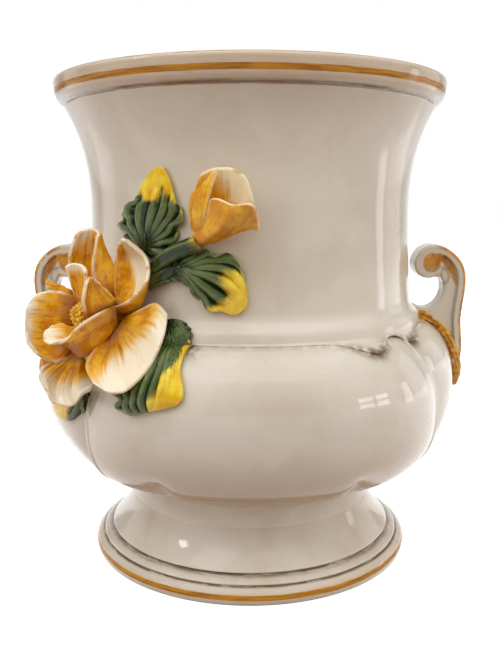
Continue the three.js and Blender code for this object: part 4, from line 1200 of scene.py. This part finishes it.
def makeOchreGlaze():
    material, tree, shader, bump = glossy("ochre glaze of the handle leaf", 0.0008, 0.4, coat=0.45)
    place = here(tree)
    blotch = noise(tree, place, 140, 4, 0.65)
    color = mix(tree, smooth(tree, blotch, 0.35, 0.65), linear(196, 120, 4), linear(230, 172, 40))
    # Painted shade in the creases of the folds and a painted highlight on their crests.
    color = mix(tree, smooth(tree, mark(tree, "fold"), -0.4, -1.0, 0.0, 0.6), color, linear(140, 76, 6))
    color = mix(tree, smooth(tree, mark(tree, "fold"), 0.5, 1.0, 0.0, 0.4), color, linear(244, 210, 130))
    tree.links.new(color, shader["Base Color"])
    tree.links.new(smooth(tree, blotch, 0.2, 0.8, 0.2, 0.34), shader["Roughness"])
    tree.links.new(noise(tree, place, 200, 4, 0.6), bump["Height"])
    return material


def makePetalGlaze(name, deep, bright, gold, pale, stroke, baseShadeColor):
    material, tree, shader, bump = glossy(name, 0.0006, 0.35, coat=0.5)
    strokes = use(tree, brushStreaks, {"Across": 11.0, "Along": 1.5})
    amber = mix(tree, smooth(tree, strokes["Blotches"], 0.35, 0.65), deep, bright)
    drawn = math2(tree, "ADD", mark(tree, "amber"),
                  math2(tree, "MULTIPLY", math2(tree, "SUBTRACT", strokes["Streaks"], 0.5), 0.8))
    color = mix(tree, smooth(tree, drawn, 0.06, 0.45), pale, gold)
    color = mix(tree, smooth(tree, drawn, 0.36, 0.72), color, amber)
    dark = math2(tree, "MULTIPLY", smooth(tree, strokes["Streaks"], 0.52, 0.66),
                 smooth(tree, mark(tree, "amber"), 0.05, 0.6, 0.06, 0.65))
    color = mix(tree, dark, color, stroke)
    # Painted shade in the petal's grooves, where it is amber.
    grooves = math2(tree, "MULTIPLY", smooth(tree, mark(tree, "relief"), -0.4, -0.9, 0.0, 0.6),
                    smooth(tree, mark(tree, "amber"), 0.0, 0.5, 0.3, 1.0))
    color = mix(tree, grooves, color, linear(186, 112, 6))
    # Painted shade towards the petal's base.
    baseShade = smooth(tree, mark(tree, "along"), 0.26, 0.04, 0.0, 0.75)
    color = mix(tree, baseShade, color, baseShadeColor)
    color = mix(tree, math2(tree, "MULTIPLY", mark(tree, "rim"), 0.7), color, pale)
    edge = math2(tree, "MULTIPLY", mark(tree, "rim"), smooth(tree, strokes["Blotches"], 0.52, 0.6, 0.0, 0.7))
    color = mix(tree, edge, color, linear(210, 146, 40))
    tree.links.new(color, shader["Base Color"])
    tree.links.new(smooth(tree, strokes["Blotches"], 0.2, 0.8, 0.2, 0.34), shader["Roughness"])
    tree.links.new(strokes["Streaks"], bump["Height"])
    return material


def makeLeafGlaze():
    material, tree, shader, bump = glossy("green glaze of the leaves", 0.0006, 0.35, coat=0.5)
    strokes = use(tree, brushStreaks, {"Across": 5.0, "Along": 3.0})
    unevenness = math2(tree, "ADD", math2(tree, "MULTIPLY", strokes["Blotches"], 0.7),
                       math2(tree, "MULTIPLY", strokes["Streaks"], 0.9))
    # Painted shade in the grooves between the fingers and a painted highlight along their backs.
    ridge = math2(tree, "ADD", mark(tree, "ridge"), math2(tree, "SUBTRACT", unevenness, 0.8))
    green = mix(tree, smooth(tree, ridge, -0.9, 0.3), linear(4, 10, 2), linear(36, 54, 17))
    green = mix(tree, smooth(tree, ridge, 0.45, 1.25, 0.0, 0.8), green, linear(120, 136, 78))
    yellow = mix(tree, smooth(tree, strokes["Blotches"], 0.35, 0.65), linear(236, 186, 14), linear(252, 224, 72))
    drawn = math2(tree, "ADD", mark(tree, "yellow"),
                  math2(tree, "MULTIPLY", math2(tree, "SUBTRACT", unevenness, 0.8), 0.7))
    color = mix(tree, smooth(tree, drawn, 0.25, 0.8), green, yellow)
    # A painted highlight along the leaf's rim.
    color = mix(tree, math2(tree, "MULTIPLY", mark(tree, "rim"), 0.6), color, linear(196, 188, 110))
    tree.links.new(color, shader["Base Color"])
    tree.links.new(smooth(tree, strokes["Blotches"], 0.2, 0.8, 0.18, 0.3), shader["Roughness"])
    tree.links.new(strokes["Blotches"], bump["Height"])
    return material


def makeStamenGlaze():
    material, tree, shader, bump = glossy("yellow glaze of the stamens", 0.0005, 0.4)
    grain = noise(tree, here(tree), 320, 3, 0.6)
    color = mix(tree, smooth(tree, grain, 0.35, 0.65), linear(214, 146, 10), linear(248, 208, 60))
    # Painted shade towards the foot of the cluster.
    color = mix(tree, smooth(tree, mark(tree, "rise"), 0.55, 0.1), color, linear(160, 96, 14))
    tree.links.new(color, shader["Base Color"])
    tree.links.new(smooth(tree, grain, 0.2, 0.8, 0.2, 0.36), shader["Roughness"])
    tree.links.new(grain, bump["Height"])
    return material


neckGlaze, bellyGlaze, footGlaze = makeNeckGlaze(), makeBellyGlaze(), makeFootGlaze()
handleGlaze, ochreGlaze, leafGlaze, stamenGlaze = (
    makeHandleGlaze(), makeOchreGlaze(), makeLeafGlaze(), makeStamenGlaze())
petalGlaze = makePetalGlaze("amber and cream glaze of the petals",
                            linear(210, 130, 0), linear(250, 186, 16),
                            linear(244, 192, 80), linear(250, 238, 210), linear(168, 90, 0), linear(124, 56, 0))
budGlaze = makePetalGlaze("amber and cream glaze of the bud",
                          linear(224, 148, 0), linear(250, 194, 40),
                          linear(250, 208, 110), linear(255, 242, 200), linear(208, 128, 0), linear(214, 136, 8))
print("materials made")


# The pieces, each in place of its solid in the frame.
standIn(makeNeck(), neckGlaze, "ivory_glaze", "neck_bell")
standIn(makeBelly(), bellyGlaze, "ivory_glaze", "lobed_belly")
standIn(makeFoot(), footGlaze, "ivory_glaze", "foot")
print("neck, belly and foot made")
for ending, side in (("right", 1), ("left", -1)):
    standIn(makeHandle("handle" + ending.title(), side), handleGlaze, "ivory_glaze", "handle_" + ending)
    standIn(makeHandleLeaf("handleLeaf" + ending.title(), side), ochreGlaze, "ochre_glaze",
            "handle_leaf_" + ending)
print("handles made")
for name, shape in petals.items():
    standIn(makePetal(name, shape), petalGlaze, "petal_glaze", shape["node"])
standIn(makeSeat(), petalGlaze, "petal_glaze", "flower_seat")
standIn(makeStamens(), stamenGlaze, "stamen_glaze", "stamen_cluster")
print("flower made")
standIn(makeStem(), leafGlaze, "leaf_glaze", "stem")
for name, shape in budPetals.items():
    standIn(makeBudPetal(name, shape), budGlaze, "petal_glaze", shape["node"])
standIn(makeBudHeart(), budGlaze, "petal_glaze", "bud_heart")
for name, shape in leaves.items():
    standIn(makeLeaf(name, shape), leafGlaze, "leaf_glaze", shape["node"])
print("bud, stem and leaves made")


# The room: a pale floor, white behind it, soft light.
def lookedAt(ray):
    return math2(ray.id_data, "MAXIMUM", math2(ray.id_data, "MAXIMUM", ray.outputs["Is Camera Ray"],
                                               ray.outputs["Is Glossy Ray"]),
                 ray.outputs["Is Transmission Ray"])


def makeFloor():
    mesh = bpy.data.meshes.new("floor")
    reach = 6
    mesh.from_pydata([(-reach, -reach, 0), (reach, -reach, 0), (reach, reach, 0), (-reach, reach, 0)],
                     [], [(0, 1, 2, 3)])
    floor = bpy.data.objects.new("floor", mesh)
    bpy.context.scene.collection.objects.link(floor)
    material = bpy.data.materials.new("pale floor")
    material.use_nodes = True
    tree = material.node_tree
    tree.nodes.clear()
    ray = add(tree, "ShaderNodeLightPath")
    seen = lookedAt(ray)
    color = mix(tree, seen, linear(134, 96, 62), linear(250, 250, 250))
    shader = add(tree, "ShaderNodeBsdfPrincipled", {
        "Base Color": color, "Roughness": 0.6, "Emission Color": (1, 1, 1, 1),
        "Emission Strength": math2(tree, "MULTIPLY", seen, 0.6)})
    end = add(tree, "ShaderNodeOutputMaterial")
    tree.links.new(shader.outputs[0], end.inputs[0])
    mesh.materials.append(material)


def makeRoom():
    world = bpy.data.worlds.new("white room")
    bpy.context.scene.world = world
    world.use_nodes = True
    tree = world.node_tree
    tree.nodes.clear()
    ray = add(tree, "ShaderNodeLightPath")
    toward = add(tree, "ShaderNodeSeparateXYZ", {0: add(tree, "ShaderNodeTexCoord").outputs["Generated"]})
    behind = smooth(tree, toward.outputs[1], 0.62, 0.96)
    seen = math2(tree, "MAXIMUM", ray.outputs["Is Camera Ray"], math2(tree, "MULTIPLY", lookedAt(ray), behind))
    dimmed = smooth(tree, ray.outputs["Is Glossy Ray"], 0.0, 1.0, 0.54, 0.16)
    light = add(tree, "ShaderNodeBackground", {"Color": linear(234, 234, 234), "Strength": dimmed})
    white = add(tree, "ShaderNodeBackground", {"Color": (1, 1, 1, 1), "Strength": 1.0})
    either = add(tree, "ShaderNodeMixShader", {0: seen, 1: light.outputs[0], 2: white.outputs[0]})
    end = add(tree, "ShaderNodeOutputWorld")
    tree.links.new(either.outputs[0], end.inputs[0])


def softLight(name, place, aim, size, power, color=(1, 1, 1)):
    lamp = bpy.data.lights.new(name, "AREA")
    lamp.shape = "RECTANGLE"
    lamp.size, lamp.size_y = size
    lamp.energy, lamp.color = power, color
    thing = bpy.data.objects.new(name, lamp)
    thing.location = place
    thing.rotation_euler = (Vector(aim) - Vector(place)).to_track_quat("-Z", "Y").to_euler()
    bpy.context.scene.collection.objects.link(thing)
    return thing


# A window to the right, whose panes show in the belly alone, and a tall one and two dim screens for the neck.
def makeWindow():
    belly, neckAndFoot = bpy.data.collections.new("shows the panes"), bpy.data.collections.new("lit by the window")
    belly.objects.link(bpy.data.objects["lobedBelly"])
    neckAndFoot.objects.link(bpy.data.objects["neckBell"])
    neckAndFoot.objects.link(bpy.data.objects["spreadingFoot"])
    for column, azimuth in enumerate((62, 74)):
        for row in range(2):
            turn = math.radians(azimuth)
            place = (1.3 * math.sin(turn), -1.3 * math.cos(turn), 0.12 + 0.14 * row)
            pane = softLight(f"window pane {column} {row}", place, (0.07, -0.1, 0.13), (0.22, 0.1), 0.42)
            pane.light_linking.receiver_collection = belly
    softLight("tall window", (1.43, 0.22, 0.17), (0.07, -0.07, 0.21), (0.2, 0.42), 0.78)
    softLight("right screen", (1.3, 0.66, 0.25), (0.07, -0.07, 0.22), (0.6, 0.9), 1.5)
    glow = softLight("light of the window", (1.3, -0.45, 0.62), (0.05, -0.07, 0.22), (0.4, 0.4), 2.4)
    glow.visible_glossy = False
    glow.light_linking.receiver_collection = neckAndFoot
    softLight("left screen", (-1.37, 0.61, 0.25), (-0.08, -0.06, 0.22), (0.5, 0.8), 1.0)
    softLight("small lamp", (-1.35, -0.7, 1.0), (-0.08, -0.09, 0.17), (0.2, 0.2), 1.6)


def makeCamera():
    lens = bpy.data.cameras.new("camera")
    lens.sensor_width, lens.lens = 36, 41
    lens.clip_start, lens.clip_end = 0.01, 50
    camera = bpy.data.objects.new("camera", lens)
    camera.location = (0, -0.50555, 0.22705)
    camera.rotation_euler = (math.radians(90 - 9.766), 0, 0)
    bpy.context.scene.collection.objects.link(camera)
    bpy.context.scene.camera = camera


makeFloor()
makeRoom()
softLight("left light", (-1.7, -1.0, 1.1), (0, 0, 0.15), (3.0, 2.6), 18.6)
softLight("right light", (1.7, -1.0, 1.1), (0, 0, 0.15), (3.0, 2.6), 14.2)
softLight("top light", (0, -0.5, 1.8), (0, 0, 0.1), (2.6, 2.2), 21)
makeWindow()
makeCamera()
bpy.context.scene.view_settings.view_transform = "Standard"
print("room, light and camera made")
